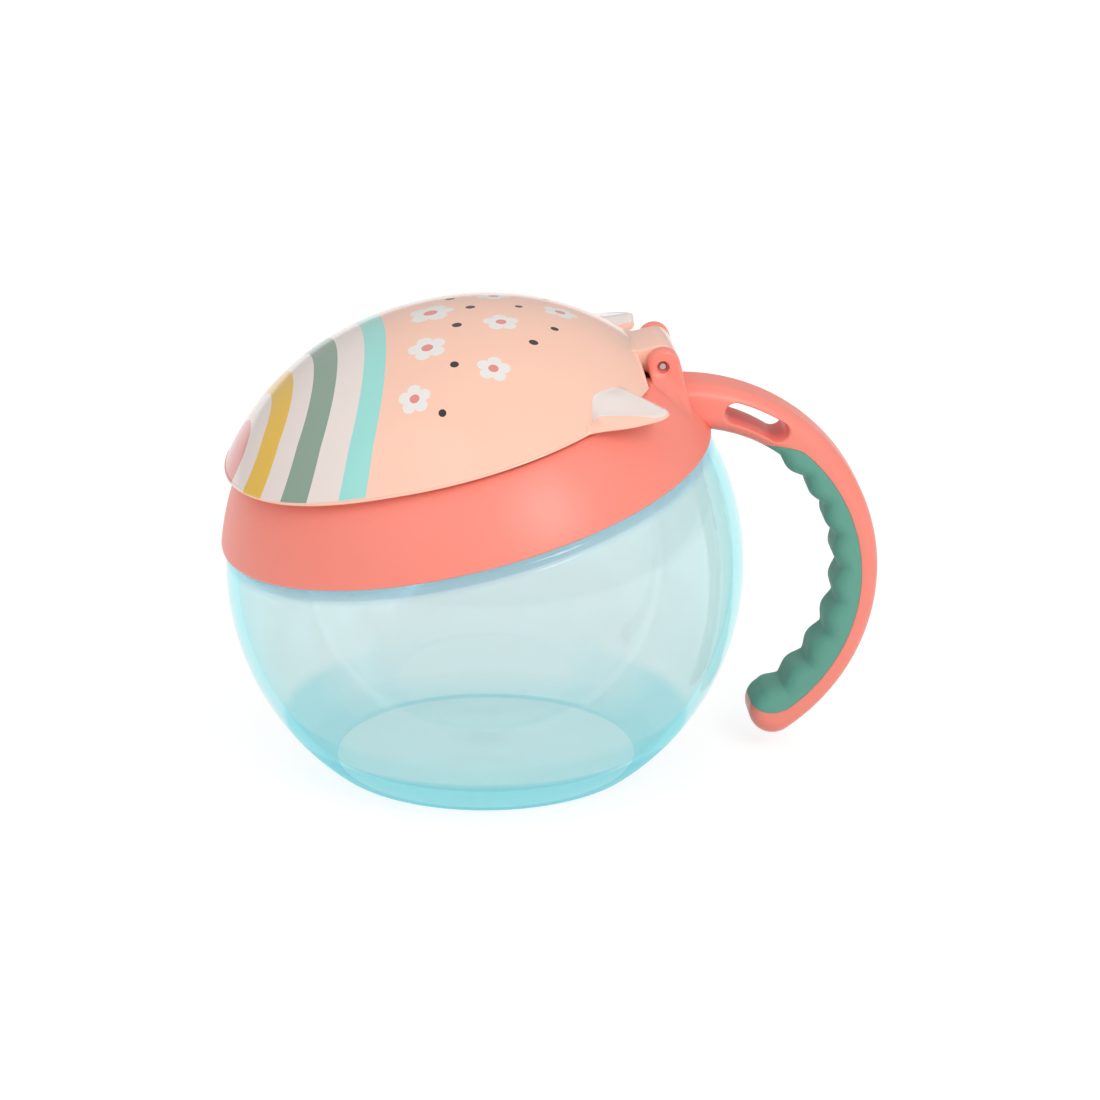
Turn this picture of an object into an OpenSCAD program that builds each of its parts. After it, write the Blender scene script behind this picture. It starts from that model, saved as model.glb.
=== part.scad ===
// Snack container for a toddler: a ball-shaped clear bowl with a tilted mouth, a screw-on collar
// with a C-shaped handle and a soft grip, a domed lid on a pin, and a soft insert with six flaps.
// Millimetres. The origin is on the table, straight under the ball's centre. +Z is up, +X points
// to the handle, and the part is symmetric about the plane Y = 0.
// Pieces round the mouth are drawn in the mouth's own frame: x' points to the hinge, h runs out
// of the mouth along its axis, and both are counted from the ball's centre.

/* [Bowl] */
// Outer radius of the ball
bowl_r = 48; // [46:0.5:51]
// Height of the ball's centre above the table
ball_z = 38; // [35:0.5:40]
// Wall thickness of the bowl
bowl_wall = 2; // [1.6:0.1:2.4]
// Thickness of the bowl's floor
floor_t = 4.4; // [3:0.2:6]

/* [Mouth] */
// Tilt of the mouth, down towards the front
mouth_tilt = 13.2; // [10:0.2:15]
// Height of the bowl's shoulder, along the mouth's axis
shoulder_h = 14.6; // [13:0.2:16]
// Length of the neck above the shoulder
neck_len = 11.9; // [11:0.1:13]
// Wall thickness of the neck
neck_wall = 2; // [1.6:0.1:2.4]
// Free space round the neck inside the collar
neck_gap = 0.4; // [0.3:0.05:0.6]

/* [Thread] */
// Number of thread lugs round the neck
lug_count = 4; // [3:1:5]
// Length of a lug round the neck, in degrees
lug_arc = 26; // [18:1:28]
// Thickness of a lug
lug_t = 1.6; // [1.2:0.1:1.8]
// How far a lug stands out of its wall
lug_depth = 1.5; // [1.1:0.1:1.7]
// Rise of the thread in one full turn
thread_lead = 16; // [14:1:20]
// Axial play between the lugs of the bowl and those of the collar
thread_play = 0.15; // [0.1:0.05:0.3]
// Distance from the rim of the neck down to the middle of its lugs
lug_drop = 3.5; // [3.2:0.1:4]

/* [Collar] */
// How far the collar stands proud of the bowl
collar_proud = 1; // [0.6:0.1:1.6]
// Gap between the bowl's shoulder and the collar
collar_gap = 0.8; // [0.5:0.1:1.2]
// Wall thickness of the collar's outer skin
collar_wall = 1.8; // [1.5:0.1:2.2]
// Wall thickness of the threaded skirt inside the collar
skirt_wall = 1.8; // [1.4:0.1:2.2]
// Thickness of the collar's deck
deck_t = 1.8; // [1.4:0.1:2.4]
// Width of the ledge that holds the insert, from the skirt's bore in to the opening for the hand
ledge_w = 7.6; // [7:0.1:9]
// Distance from the collar's upper edge in to the lip that the lid closes round
lip_in = 4; // [3.6:0.1:4.6]
// Height of the lip above the deck
lip_up = 2.4; // [1.6:0.1:2.6]
// Wall thickness of the lip
lip_wall = 2; // [1.6:0.1:2.6]

/* [Soft insert] */
// Thickness of the insert's rim
insert_t = 1.2; // [1:0.1:1.6]
// Play of the insert above and below its rim
seat_play = 0.05; // [0.03:0.01:0.1]
// How far the insert's edge catches in the collar's groove
insert_catch = 0.5; // [0.3:0.1:0.7]
// Distance from the opening for the hand in to a flap's fold
fold_in = 5.7; // [5:0.1:8]
// Thickness of a flap
flap_t = 0.8; // [0.6:0.1:1]
// Width of the slits between flaps
flap_slit = 0.6; // [0.4:0.1:0.8]
// Gap along a flap's fold
fold_gap = 0.1; // [0.05:0.05:0.2]

/* [Lid] */
// Height of the lid's rim above the collar's deck
lid_rise = 0.7; // [0.5:0.1:1]
// How far the lid's rim reaches past the collar
lid_overhang = 2.3; // [1.8:0.1:2.8]
// How far the lid's own centre lies in front of the mouth's axis
lid_forward = 1.1; // [0.8:0.1:1.4]
// Radius of the dome round its top
dome_top_r = 58.4; // [54:0.2:64]
// Radius of the dome's sides
dome_side_r = 45.3; // [44:0.1:48]
// Distance from the lid's centre to where the dome's two curves meet
dome_join = 19.4; // [14:0.2:24]
// Wall thickness of the lid
lid_wall = 1.9; // [1.5:0.1:2.2]
// Wall thickness of the ring under the lid that closes round the lip
plug_wall = 1.6; // [1.2:0.1:1.8]
// Distance from the lid's rear cut to the ends of that ring
plug_open = 3; // [2:0.5:6]
// Gap between that ring and the lip or the deck
plug_gap = 0.4; // [0.3:0.05:0.5]

/* [Lid ears] */
// Distance from the lid's side in to the outer edge of an ear
ear_side = 8.4; // [7.4:0.2:9.8]
// Length of an ear, across the lid
ear_len = 14; // [12:0.2:15.4]
// How far an ear reaches behind the lid's rear cut
ear_back = 2; // [1.4:0.1:2.4]
// How far an ear's root starts in front of the lid's rear cut
ear_root = 11; // [9:0.5:13]
// Radius of an ear's tip
ear_tip_r = 3; // [2:0.1:4]
// How far an ear's underside lies below the lid's rim
ear_dip = 1.4; // [0.8:0.1:1.6]
// Height of an ear's face at its root, above the lid's rim
ear_rise = 4; // [3:0.1:5]
// Slope of an ear's face
ear_slope = 21; // [16:1:26]
// Direction in which an ear's face falls, away from straight back
ear_turn = 30; // [15:1:45]

/* [Hinge] */
// Distance from the lid's rim back to the pin
pin_back = 0.4; // [0.2:0.1:0.8]
// Height of the pin above the lid's rim
pin_up = 1.1; // [0.8:0.1:1.4]
// Radius of the pin
pin_r = 0.8; // [0.7:0.05:1]
// Running clearance between the pin and the lid's knuckle
pin_clear = 0.05; // [0.03:0.01:0.1]
// Radius of the two posts that hold the pin
post_r = 3.3; // [3:0.1:3.6]
// Thickness of a post
post_w = 3; // [2.4:0.1:3.6]
// Width of the lid's knuckle
knuckle_w = 12.4; // [11:0.2:14]
// How far the knuckle's arm reaches into the lid
knuckle_bite = 0.8; // [0.5:0.1:1.4]
// Gap on each side of the knuckle
knuckle_gap = 0.3; // [0.2:0.05:0.5]
// Radius of the lid's knuckle
knuckle_r = 3.2; // [2.9:0.1:3.4]
// Gap between the posts and the lid behind them
hinge_gap = 0.35; // [0.3:0.05:0.6]
// Radius of the pockets at the pin's ends
pin_pocket_r = 1.1; // [1.05:0.05:1.4]
// Depth of the pockets at the pin's ends
pin_pocket = 0.6; // [0.3:0.1:1]

/* [Handle] */
// Radius of the handle's outer curve
handle_r = 37.6; // [36:0.1:39]
// Distance of that curve's centre behind the ball's centre
handle_x = 35.5; // [34.5:0.1:36.5]
// Distance of that curve's centre below the ball's centre
handle_drop = 2.8; // [2:0.1:3.6]
// Distance from the handle's outer curve to its inner curve
handle_t = 8.8; // [8.2:0.1:9.6]
// How far the inner curve's centre lies behind the outer curve's
palm_back = 1.6; // [1:0.1:2]
// How far the inner curve's centre lies above the outer curve's
palm_up = -0.1; // [-0.4:0.1:0.6]
// Width of the handle
handle_w = 11.6; // [10:0.2:13]
// Radius of the handle's outer edges
back_edge_r = 3.2; // [2:0.1:3.4]
// Radius of the handle's inner edges
palm_edge_r = 2.6; // [1.6:0.1:3.2]
// Angle of the middle of the handle's free end, below the horizontal
end_angle = 56.4; // [52:0.2:58]
// Radius of the handle's free end
end_r = 4.5; // [4.2:0.1:4.8]
// Depth of the handle's foot in the collar
tenon_depth = 1.6; // [1:0.1:1.8]
// Width of the handle's foot in the collar
tenon_w = 8; // [6:0.5:9]
// Height of the handle's foot in the collar
tenon_h = 2.4; // [1.8:0.2:2.6]
// Distance from the pin down to the top of that foot
tenon_drop = 6.6; // [6.3:0.1:7]
// Clearance round that foot
tenon_clear = 0.05; // [0.03:0.01:0.1]

/* [Hanging slot] */
// Height of the slot through the handle
slot_t = 3.9; // [3:0.1:4.1]
// Distance from the handle's outer curve to the slot
slot_in = 2.1; // [1.8:0.1:2.6]
// Angle of the slot's lower end, above the horizontal
slot_from = 57; // [56:0.5:59]
// Angle of the slot's upper end, above the horizontal
slot_to = 72; // [68:0.5:73]

/* [Grip] */
// Distance from the handle's outer curve to the seam of the grip
seam_in = 5.35; // [5.1:0.05:5.8]
// How far the seam's centre lies behind the outer curve's
seam_back = 2; // [1.7:0.1:2.3]
// How far the seam's centre lies above the outer curve's
seam_up = -0.4; // [-0.8:0.1:0]
// Angle of the grip's upper end, above the horizontal
grip_top = 46; // [42:0.5:47]
// Radius of the grip's upper end
grip_top_r = 4; // [3:0.1:4.4]
// Angle of the grip's lower end, below the horizontal
grip_end = 52.8; // [50:0.2:54]
// Radius of the grip's lower end
grip_end_r = 6; // [5.4:0.1:6.4]
// Number of finger ridges
ridge_count = 8; // [6:1:8]
// Angle from one finger ridge to the next
ridge_pitch = 13; // [12:0.1:13.2]
// Angle of the middle of the row of ridges, above the horizontal
ridge_mid = 1.2; // [-1:0.2:3]
// How far the ridges stand out of the handle's inner curve
ridge_up = 1.1; // [0.7:0.1:1.3]

/* [Hidden] */
$fn = 96;
big = 200;
tiny = 0.01;
over = 1;

// mouth, from the table of sizes above
neck_top_h = shoulder_h + neck_len;
insert_low_h = neck_top_h + seat_play;
deck_low_h = insert_low_h + insert_t + seat_play;
deck_high_h = deck_low_h + deck_t;
collar_low_h = shoulder_h + collar_gap;
collar_r = bowl_r + collar_proud;
skin_in_r = collar_r - collar_wall;
groove_r = sqrt(pow(skin_in_r, 2) - pow(deck_low_h, 2));
bore_r = groove_r - insert_catch;
neck_r = bore_r - neck_gap;
throat_r = bore_r - ledge_w;
deck_r = sqrt(pow(collar_r, 2) - pow(deck_high_h, 2));
lip_r = deck_r - lip_in;
skirt_r = neck_r + lug_depth + neck_gap;
lug_h = neck_top_h - lug_drop;
lug_pitch_angle = 360 / lug_count;
lug_slope = atan(thread_lead / (2 * PI * neck_r));
lug_rise = neck_r * sin(lug_arc / 2) * tan(lug_slope);
bore_step_h = lug_h + lug_t / 2 + lug_rise + neck_gap;

// lid and hinge
lid_rim_h = deck_high_h + lid_rise;
lid_r = sqrt(pow(collar_r, 2) - pow(lid_rim_h, 2)) + lid_overhang;
join_angle = asin(dome_join / dome_top_r);
side_x = (dome_top_r - dome_side_r) * sin(join_angle);
side_h = lid_rim_h - sqrt(pow(dome_side_r, 2) - pow(lid_r - side_x, 2));
dome_h = side_h - (dome_top_r - dome_side_r) * cos(join_angle);
pin_x = lid_r - lid_forward + pin_back;
pin_h = lid_rim_h + pin_up;
hinge_w = knuckle_w + 2 * (knuckle_gap + post_w);
hinge_back_x = pin_x + post_r;
hinge_low_h = lug_h - lug_t;
lid_cut_x = pin_x - post_r - hinge_gap;
ear_out = lid_r - ear_side;
ear_in = ear_out - ear_len;
knuckle_top_h = pin_h + knuckle_r;
ear_root_r = 0.5;
ear_crest_back = 1.5;
ear_crest_side = 5.5;
ear_crest_x = lid_cut_x - ear_root + ear_crest_back;
ear_crest_y = ear_in + ear_crest_side;

// handle, in the plane Y = 0
palm_r = handle_r - handle_t;
seam_r = handle_r - seam_in;
palm_x = handle_x + palm_back;
palm_z = palm_up - handle_drop;
seam_x = handle_x + seam_back;
seam_z = seam_up - handle_drop;
end_mid_r = handle_r - end_r;
ridge_half = palm_r * sin(ridge_pitch / 2);
ridge_r = (pow(ridge_half, 2) + pow(ridge_up, 2)) / (2 * ridge_up);
ridge_mid_r = palm_r * cos(ridge_pitch / 2) - ridge_up + ridge_r;
tenon_top_h = pin_h - tenon_drop;
tenon_root = 2;
grip_step_x = 10;
grip_step_z = 8;
root_angle = 100;

// soft insert
flap_count = 6;
flap_step = 360 / flap_count;
fold_r = flap_t / 2;
flap_fold = throat_r - fold_in;
fold_room = (flap_fold + fold_r + fold_gap) / cos(flap_step / 2);
flap_mid_h = insert_low_h + insert_t / 2;
insert_clear = 0.1;
throat_clear = 0.2;

// ---- helpers -------------------------------------------------------------------------------

// Moves its children from the mouth's frame, or the ball's, to the part's frame.
module at_ball() translate([0, 0, ball_z]) children();
module in_mouth() at_ball() rotate([0, -mouth_tilt, 0]) children();

// Stretches a flat outline, drawn in x and height, to a plate of the given width about Y = 0.
module plate(width) rotate([90, 0, 0]) linear_extrude(height = width, center = true) children();

// Round disc from height low to height high.
module disc(radius, low, high) translate([0, 0, low]) cylinder(r = radius, h = high - low);

// Everything between two heights.
module slab(low, high) translate([-big / 2, -big / 2, low]) cube([big, big, high - low]);

// Rectangle from x0 to x1, centred on the x axis, with round corners at x0, x1 or both.
module round_bar(x0, x1, width, r0, r1) {
    half = width / 2;
    translate([x0, -half + r0]) square([(x1 - x0) / 2, width - 2 * r0]);
    translate([x0 + r0, -half]) square([(x1 - x0) / 2 - r0, width]);
    translate([(x0 + x1) / 2 - tiny, -half + r1]) square([(x1 - x0) / 2 + tiny, width - 2 * r1]);
    translate([(x0 + x1) / 2 - tiny, -half]) square([(x1 - x0) / 2 - r1 + tiny, width]);
    for (s = [-1, 1]) {
        if (r0 > 0) translate([x0 + r0, s * (half - r0)]) circle(r = r0);
        if (r1 > 0) translate([x1 - r1, s * (half - r1)]) circle(r = r1);
    }
}

// Ring or disc about an axis parallel to Y, of the section that round_bar draws.
module hoop(x, z, r_in, r_out, edge_in, edge_out)
    translate([x, 0, z]) rotate([90, 0, 0]) rotate_extrude()
        intersection() {
            round_bar(r_in, r_out, handle_w, edge_in, edge_out);
            translate([0, -big / 2]) square([big, big]);
        }

// Pie slice, about a point of the plane Y = 0, between two angles less than 180 degrees apart.
module slice(x, z, from, to)
    translate([x, 0, z]) plate(big)
        polygon([[0, 0], for (k = [0:4]) let (a = from + (to - from) * k / 4) big * [cos(a), sin(a)]]);

// ---- bowl ----------------------------------------------------------------------------------

// One lug of the thread, a short ramp that rises round the mouth's axis.
module lug(wall_r, tip_r, mid_h)
    translate([0, 0, mid_h]) rotate([lug_slope, 0, 0]) rotate([0, 0, -lug_arc / 2])
        rotate_extrude(angle = lug_arc)
            translate([min(wall_r, tip_r), -lug_t / 2]) square([abs(wall_r - tip_r), lug_t]);

module lug_ring(wall_r, tip_r, mid_h)
    for (k = [0:lug_count - 1]) rotate([0, 0, (k + 0.5) * lug_pitch_angle]) lug(wall_r, tip_r, mid_h);

module bowl() {
    neck_in_r = neck_r - neck_wall;
    color([0.72, 0.92, 0.93, 0.5]) difference() {
        union() {
            intersection() {
                at_ball() sphere(r = bowl_r, $fn = 180);
                slab(0, big);
                in_mouth() slab(-big, shoulder_h);
            }
            in_mouth() disc(neck_r, shoulder_h - bowl_wall, neck_top_h);
            in_mouth() lug_ring(neck_r - tiny, neck_r + lug_depth, lug_h);
        }
        intersection() {
            at_ball() sphere(r = bowl_r - bowl_wall, $fn = 180);
            slab(floor_t, big);
            in_mouth() slab(-big, shoulder_h - bowl_wall);
        }
        in_mouth() disc(neck_in_r, shoulder_h - 2 * bowl_wall, neck_top_h + over);
    }
}

// ---- collar --------------------------------------------------------------------------------

module hinge_outline() {
    translate([pin_x, pin_h]) circle(r = post_r);
    translate([pin_x - post_r, hinge_low_h]) square([2 * post_r, pin_h - hinge_low_h]);
}

// Room between the posts for the lid's knuckle and the bridge that carries it.
module knuckle_room() plate(knuckle_w + 2 * knuckle_gap) {
    translate([pin_x, pin_h]) circle(r = knuckle_r + knuckle_gap);
    translate([pin_x - 2 * post_r, deck_high_h]) square([2 * post_r, 3 * post_r]);
    translate([pin_x - tiny, pin_h]) square([2 * post_r, 3 * post_r]);
}

module tenon(grow)
    translate([hinge_back_x - tenon_depth - grow, -tenon_w / 2 - grow, tenon_top_h - tenon_h - grow])
        cube([tenon_depth + tenon_root + grow, tenon_w + 2 * grow, tenon_h + 2 * grow]);

module pin_hole(radius, half_length)
    translate([pin_x, 0, pin_h]) rotate([90, 0, 0]) cylinder(r = radius, h = 2 * half_length, center = true);

module collar() color([1, 0.55, 0.49]) in_mouth() {
    difference() {
        union() {
            intersection() {
                sphere(r = collar_r, $fn = 180);
                slab(collar_low_h, deck_high_h);
            }
            disc(lip_r, deck_low_h, deck_high_h + lip_up);
            plate(hinge_w) hinge_outline();
        }
        difference() {
            intersection() {
                sphere(r = skin_in_r, $fn = 180);
                slab(collar_low_h - over, deck_low_h);
            }
            disc(skirt_r + skirt_wall, collar_low_h - 2 * over, deck_high_h);
            plate(hinge_w) translate([0, hinge_low_h]) square([big / 2, big / 2]);
        }
        disc(skirt_r, collar_low_h - over, bore_step_h);
        disc(bore_r, collar_low_h - over, insert_low_h);
        disc(groove_r, insert_low_h - seat_play, deck_low_h);
        disc(throat_r, deck_low_h - over, big / 2);
        disc(lip_r - lip_wall, deck_high_h, big / 2);
        knuckle_room();
        pin_hole(pin_r, big / 4);
        for (s = [-1, 1]) translate([0, s * (hinge_w / 2), 0]) pin_hole(pin_pocket_r, pin_pocket);
        tenon(tenon_clear);
    }
    lug_ring(skirt_r + tiny, skirt_r - lug_depth, lug_h - lug_t - thread_play);
}

module hinge_pin() color([0.72, 0.73, 0.74]) in_mouth() pin_hole(pin_r, hinge_w / 2 - pin_pocket);

// ---- lid -----------------------------------------------------------------------------------

// Solid dome above a height, drawn in by a distance from its outer surface. Its side curve
// touches its top curve from inside, along the line through both centres.
module dome(inset, low_h) translate([-lid_forward, 0, 0]) rotate_extrude($fn = 180) intersection() {
    union() {
        intersection() {
            translate([0, dome_h]) circle(r = dome_top_r - inset, $fn = 360);
            translate([0, dome_h]) polygon([[0, 0], [0, big], big * [sin(join_angle), cos(join_angle)]]);
        }
        translate([side_x, side_h]) circle(r = dome_side_r - inset, $fn = 360);
    }
    translate([0, low_h]) square([big, big]);
}

module ear_outline() hull() {
    root_x = lid_cut_x - ear_root;
    translate([root_x, ear_in + ear_tip_r]) circle(r = ear_root_r, $fn = 24);
    translate([root_x, ear_out - ear_root_r]) circle(r = ear_root_r, $fn = 24);
    translate([lid_cut_x + ear_back - ear_tip_r, ear_out - ear_tip_r]) circle(r = ear_tip_r, $fn = 48);
    translate([lid_cut_x - ear_root_r, ear_in + ear_root_r]) circle(r = ear_root_r, $fn = 24);
}

// Ear on the +Y side: a lobe with a flat face that falls to the back.
module ear() difference() {
    translate([0, 0, lid_rim_h - ear_dip]) linear_extrude(height = ear_rise + ear_dip + 2 * over) ear_outline();
    translate([ear_crest_x, ear_crest_y, lid_rim_h + ear_rise])
        rotate([0, 0, ear_turn]) rotate([0, ear_slope, 0]) slab(0, big / 2);
    sphere(r = collar_r + lid_rise);
}

module lid() color([1, 0.81, 0.73]) in_mouth() difference() {
    union() {
        difference() {
            union() {
                dome(0, lid_rim_h);
                ear();
                mirror([0, 1, 0]) ear();
            }
            dome(lid_wall, lid_rim_h - ear_dip - over);
            translate([lid_cut_x, -ear_in, 0]) cube([big / 2, 2 * ear_in, big / 2]);
        }
        plug();
        knuckle();
    }
    pin_hole(pin_r + pin_clear, big / 4);
}

// Ring under the lid that closes round the collar's lip, left open at the hinge.
module plug() difference() {
    plug_in_r = lip_r + plug_gap;
    intersection() {
        disc(plug_in_r + plug_wall, deck_high_h + plug_gap, big / 2);
        dome(lid_wall / 2, deck_high_h);
    }
    disc(plug_in_r, 0, big / 2);
    translate([lid_cut_x - plug_open, -big / 2, 0]) cube([big / 2, big, big / 2]);
}

module knuckle() plate(knuckle_w) {
    translate([pin_x, pin_h]) circle(r = knuckle_r);
    polygon([[lid_cut_x - knuckle_bite, pin_h], [lid_cut_x - knuckle_bite, knuckle_top_h],
             [pin_x, knuckle_top_h], [pin_x, pin_h - knuckle_r / 2], [lid_cut_x, pin_h - pin_r]]);
}

// ---- handle --------------------------------------------------------------------------------

// The whole C of the handle, before the grip and the frame are parted.
module handle_form() {
    intersection() {
        hoop(handle_x, -handle_drop, 0, handle_r, 0, back_edge_r);
        hoop(palm_x, palm_z, palm_r, 2 * handle_r, palm_edge_r, 0);
        union() {
            slice(handle_x, -handle_drop, -end_angle, slot_from);
            slice(handle_x, -handle_drop, grip_top, root_angle);
        }
    }
    hoop(handle_x + end_mid_r * cos(end_angle), -handle_drop - end_mid_r * sin(end_angle),
         0, end_r + tiny, 0, min(palm_edge_r, back_edge_r));
}

// Outline of the grip: inside the seam's curve, between its two round ends.
module grip_outline() {
    module round_end(angle, radius)
        translate([seam_x + (seam_r - radius) * cos(angle), seam_z + (seam_r - radius) * sin(angle)])
            circle(r = radius + tiny);
    intersection() {
        translate([seam_x, seam_z]) circle(r = seam_r, $fn = 180);
        polygon([[seam_x, seam_z], for (k = [0:6]) let (a = -grip_end + (grip_end + grip_top) * k / 6)
                 [seam_x, seam_z] + big * [cos(a), sin(a)]]);
    }
    round_end(-grip_end, grip_end_r);
    round_end(grip_top, grip_top_r);
    top_x = seam_x + (seam_r - grip_top_r) * cos(grip_top);
    top_z = seam_z + (seam_r - grip_top_r) * sin(grip_top);
    translate([top_x, top_z]) rotate(-ridge_pitch)
        translate([-grip_step_x, -grip_step_z]) square([grip_step_x, grip_step_z + grip_top_r]);
}

module ridges()
    for (k = [0:ridge_count - 1]) {
        a = ridge_mid + (k - (ridge_count - 1) / 2) * ridge_pitch;
        hoop(palm_x + ridge_mid_r * cos(a), palm_z + ridge_mid_r * sin(a), 0, ridge_r, 0, palm_edge_r);
    }

// Slot for a strap or a peg, through the handle's neck.
module hanging_slot() {
    slot_mid_r = handle_r - slot_in - slot_t / 2;
    translate([handle_x, 0, -handle_drop]) {
        rotate([90, -slot_from, 0]) rotate_extrude(angle = slot_to - slot_from)
            translate([slot_mid_r - slot_t / 2 + tiny, -big / 2]) square([slot_t - 2 * tiny, big]);
        for (a = [slot_from, slot_to])
            translate([slot_mid_r * cos(a), 0, slot_mid_r * sin(a)]) rotate([90, 0, 0])
                cylinder(r = slot_t / 2, h = big, center = true);
    }
}

module handle_frame() color([1, 0.55, 0.49]) {
    difference() {
        at_ball() handle_form();
        at_ball() plate(big) grip_outline();
        at_ball() sphere(r = collar_r, $fn = 180);
        in_mouth() translate([-big / 2, -big / 2, 0]) cube([big / 2 + hinge_back_x, big, big]);
        at_ball() hanging_slot();
    }
    in_mouth() tenon(0);
}

module handle_grip() color([0.45, 0.67, 0.58]) at_ball() intersection() {
    union() {
        handle_form();
        ridges();
    }
    plate(big) grip_outline();
    hoop(handle_x, -handle_drop, 0, handle_r, 0, back_edge_r);
}

// ---- soft insert ---------------------------------------------------------------------------

module flap_insert() color([0.45, 0.67, 0.58]) in_mouth() difference() {
    union() {
        disc(groove_r - insert_clear, insert_low_h, insert_low_h + insert_t);
        disc(throat_r - throat_clear, insert_low_h, deck_high_h - insert_t);
    }
    disc(fold_room + throat_clear, insert_low_h + insert_t, deck_high_h);
    translate([0, 0, insert_low_h - over])
        linear_extrude(height = insert_t + 2 * over) rotate(flap_step / 2)
            circle(r = fold_room, $fn = flap_count);
}

// One flap, a triangle with a round fold line, numbered round the mouth's axis.
module flap(number) color([0.45, 0.67, 0.58]) in_mouth() rotate([0, 0, number * flap_step]) {
    half = flap_fold * tan(flap_step / 2) - flap_slit / 2 / cos(flap_step / 2);
    translate([0, 0, flap_mid_h - flap_t / 2]) linear_extrude(height = flap_t)
        polygon([[flap_slit, 0], [flap_fold, -half], [flap_fold, half]]);
    translate([flap_fold, 0, flap_mid_h]) rotate([90, 0, 0])
        cylinder(r = fold_r, h = 2 * half, center = true, $fn = 48);
}

module flap_1() flap(1);
module flap_2() flap(2);
module flap_3() flap(3);
module flap_4() flap(4);
module flap_5() flap(5);
module flap_6() flap(6);

bowl();
collar();
hinge_pin();
lid();
handle_frame();
handle_grip();
flap_insert();
flap_1();
flap_2();
flap_3();
flap_4();
flap_5();
flap_6();
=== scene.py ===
"""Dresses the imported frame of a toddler's snack container, in the frame's own coordinates.

The file is laid out as an add-on and run as a script. Shapes are worked out in millimetres, either
from the ball's centre (x, y, z) or in the tilted mouth's frame (x, y, h), where x points to the
hinge and h runs out of the mouth. Shell tilts and lifts them, and make_piece() gives metres.
"""

import math
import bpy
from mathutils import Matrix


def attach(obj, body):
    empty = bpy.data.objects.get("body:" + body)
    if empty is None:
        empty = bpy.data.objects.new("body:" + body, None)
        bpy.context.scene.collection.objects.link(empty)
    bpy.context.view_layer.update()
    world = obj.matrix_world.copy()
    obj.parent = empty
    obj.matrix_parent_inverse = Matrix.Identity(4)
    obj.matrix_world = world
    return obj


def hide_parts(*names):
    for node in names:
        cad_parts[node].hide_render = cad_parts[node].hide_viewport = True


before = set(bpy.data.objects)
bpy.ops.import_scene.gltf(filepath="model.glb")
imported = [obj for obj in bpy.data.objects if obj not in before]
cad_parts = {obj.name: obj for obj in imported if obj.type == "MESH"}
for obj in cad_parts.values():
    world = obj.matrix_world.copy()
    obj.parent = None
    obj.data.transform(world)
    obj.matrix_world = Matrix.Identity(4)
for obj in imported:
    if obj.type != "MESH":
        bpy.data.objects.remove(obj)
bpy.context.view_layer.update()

from types import SimpleNamespace

import bmesh
import bpy
import numpy as np
from bpy.props import FloatProperty, FloatVectorProperty, PointerProperty
from mathutils import Vector

bl_info = {
    "name": "Toddler snack container",
    "version": (1, 0, 0),
    "blender": (4, 5, 0),
    "location": "View3D > Sidebar > Snack cup",
    "description": "Builds the visible pieces of a snack container around its packed frame",
    "category": "Object",
}

MM = 0.001
QUARTER = math.pi / 2


# ---- properties ---------------------------------------------------------------------------------


def length(name, text, millimetres):
    return FloatProperty(
        name=name, description=text, default=millimetres * MM, precision=5, unit="LENGTH"
    )


def colour(name, text, value):
    return FloatVectorProperty(
        name=name, description=text, default=value, min=0, max=1, size=3, subtype="COLOR"
    )


class CupSizes(bpy.types.PropertyGroup):
    """Main sizes of the container."""

    ball_r: length("Ball radius", "Outer radius of the bowl", 47.98)
    ball_z: length("Ball height", "Height of the ball's centre above the table", 38)
    bowl_wall: length("Bowl wall", "Wall thickness of the bowl", 2)
    floor_t: length("Bowl floor", "Thickness of the bowl's floor", 4.4)
    mouth_tilt: FloatProperty(
        name="Mouth tilt",
        description="Tilt of the mouth, down towards the front",
        default=math.radians(13.2),
        unit="ROTATION",
    )
    shoulder_h: length("Shoulder height", "Height of the bowl's shoulder", 14.6)
    neck_h: length("Neck height", "Height of the rim of the bowl's neck", 26.5)
    neck_r: length("Neck radius", "Outer radius of the neck", 37.24)
    collar_r: length("Collar radius", "Outer radius of the collar's skin", 49)
    deck_h: length("Deck height", "Height of the collar's deck", 29.6)
    throat_r: length("Throat radius", "Radius of the opening for the hand", 30.04)
    lip_r: length("Lip radius", "Outer radius of the lip round the opening", 35.05)
    pin_x: length("Pin distance", "Distance from the mouth's axis to the hinge pin", 40.11)
    pin_h: length("Pin height", "Height of the hinge pin", 31.4)
    pin_r: length("Pin radius", "Radius of the hinge pin", 0.8)
    lid_rim_h: length("Lid rim height", "Height of the lid's rim", 30.3)
    lid_r: length("Lid radius", "Outer radius of the lid", 40.81)
    lid_wall: length("Lid wall", "Wall thickness of the lid", 1.9)
    handle_r: length("Handle radius", "Radius of the handle's outer curve", 37.6)
    handle_w: length("Handle width", "Width of the handle", 11.6)
    ridge_up: length("Ridge height", "How far the finger ridges stand out", 1.1)
    flap_fold: length("Flap fold", "Distance from the mouth's axis to a flap's fold", 24.34)


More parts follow.
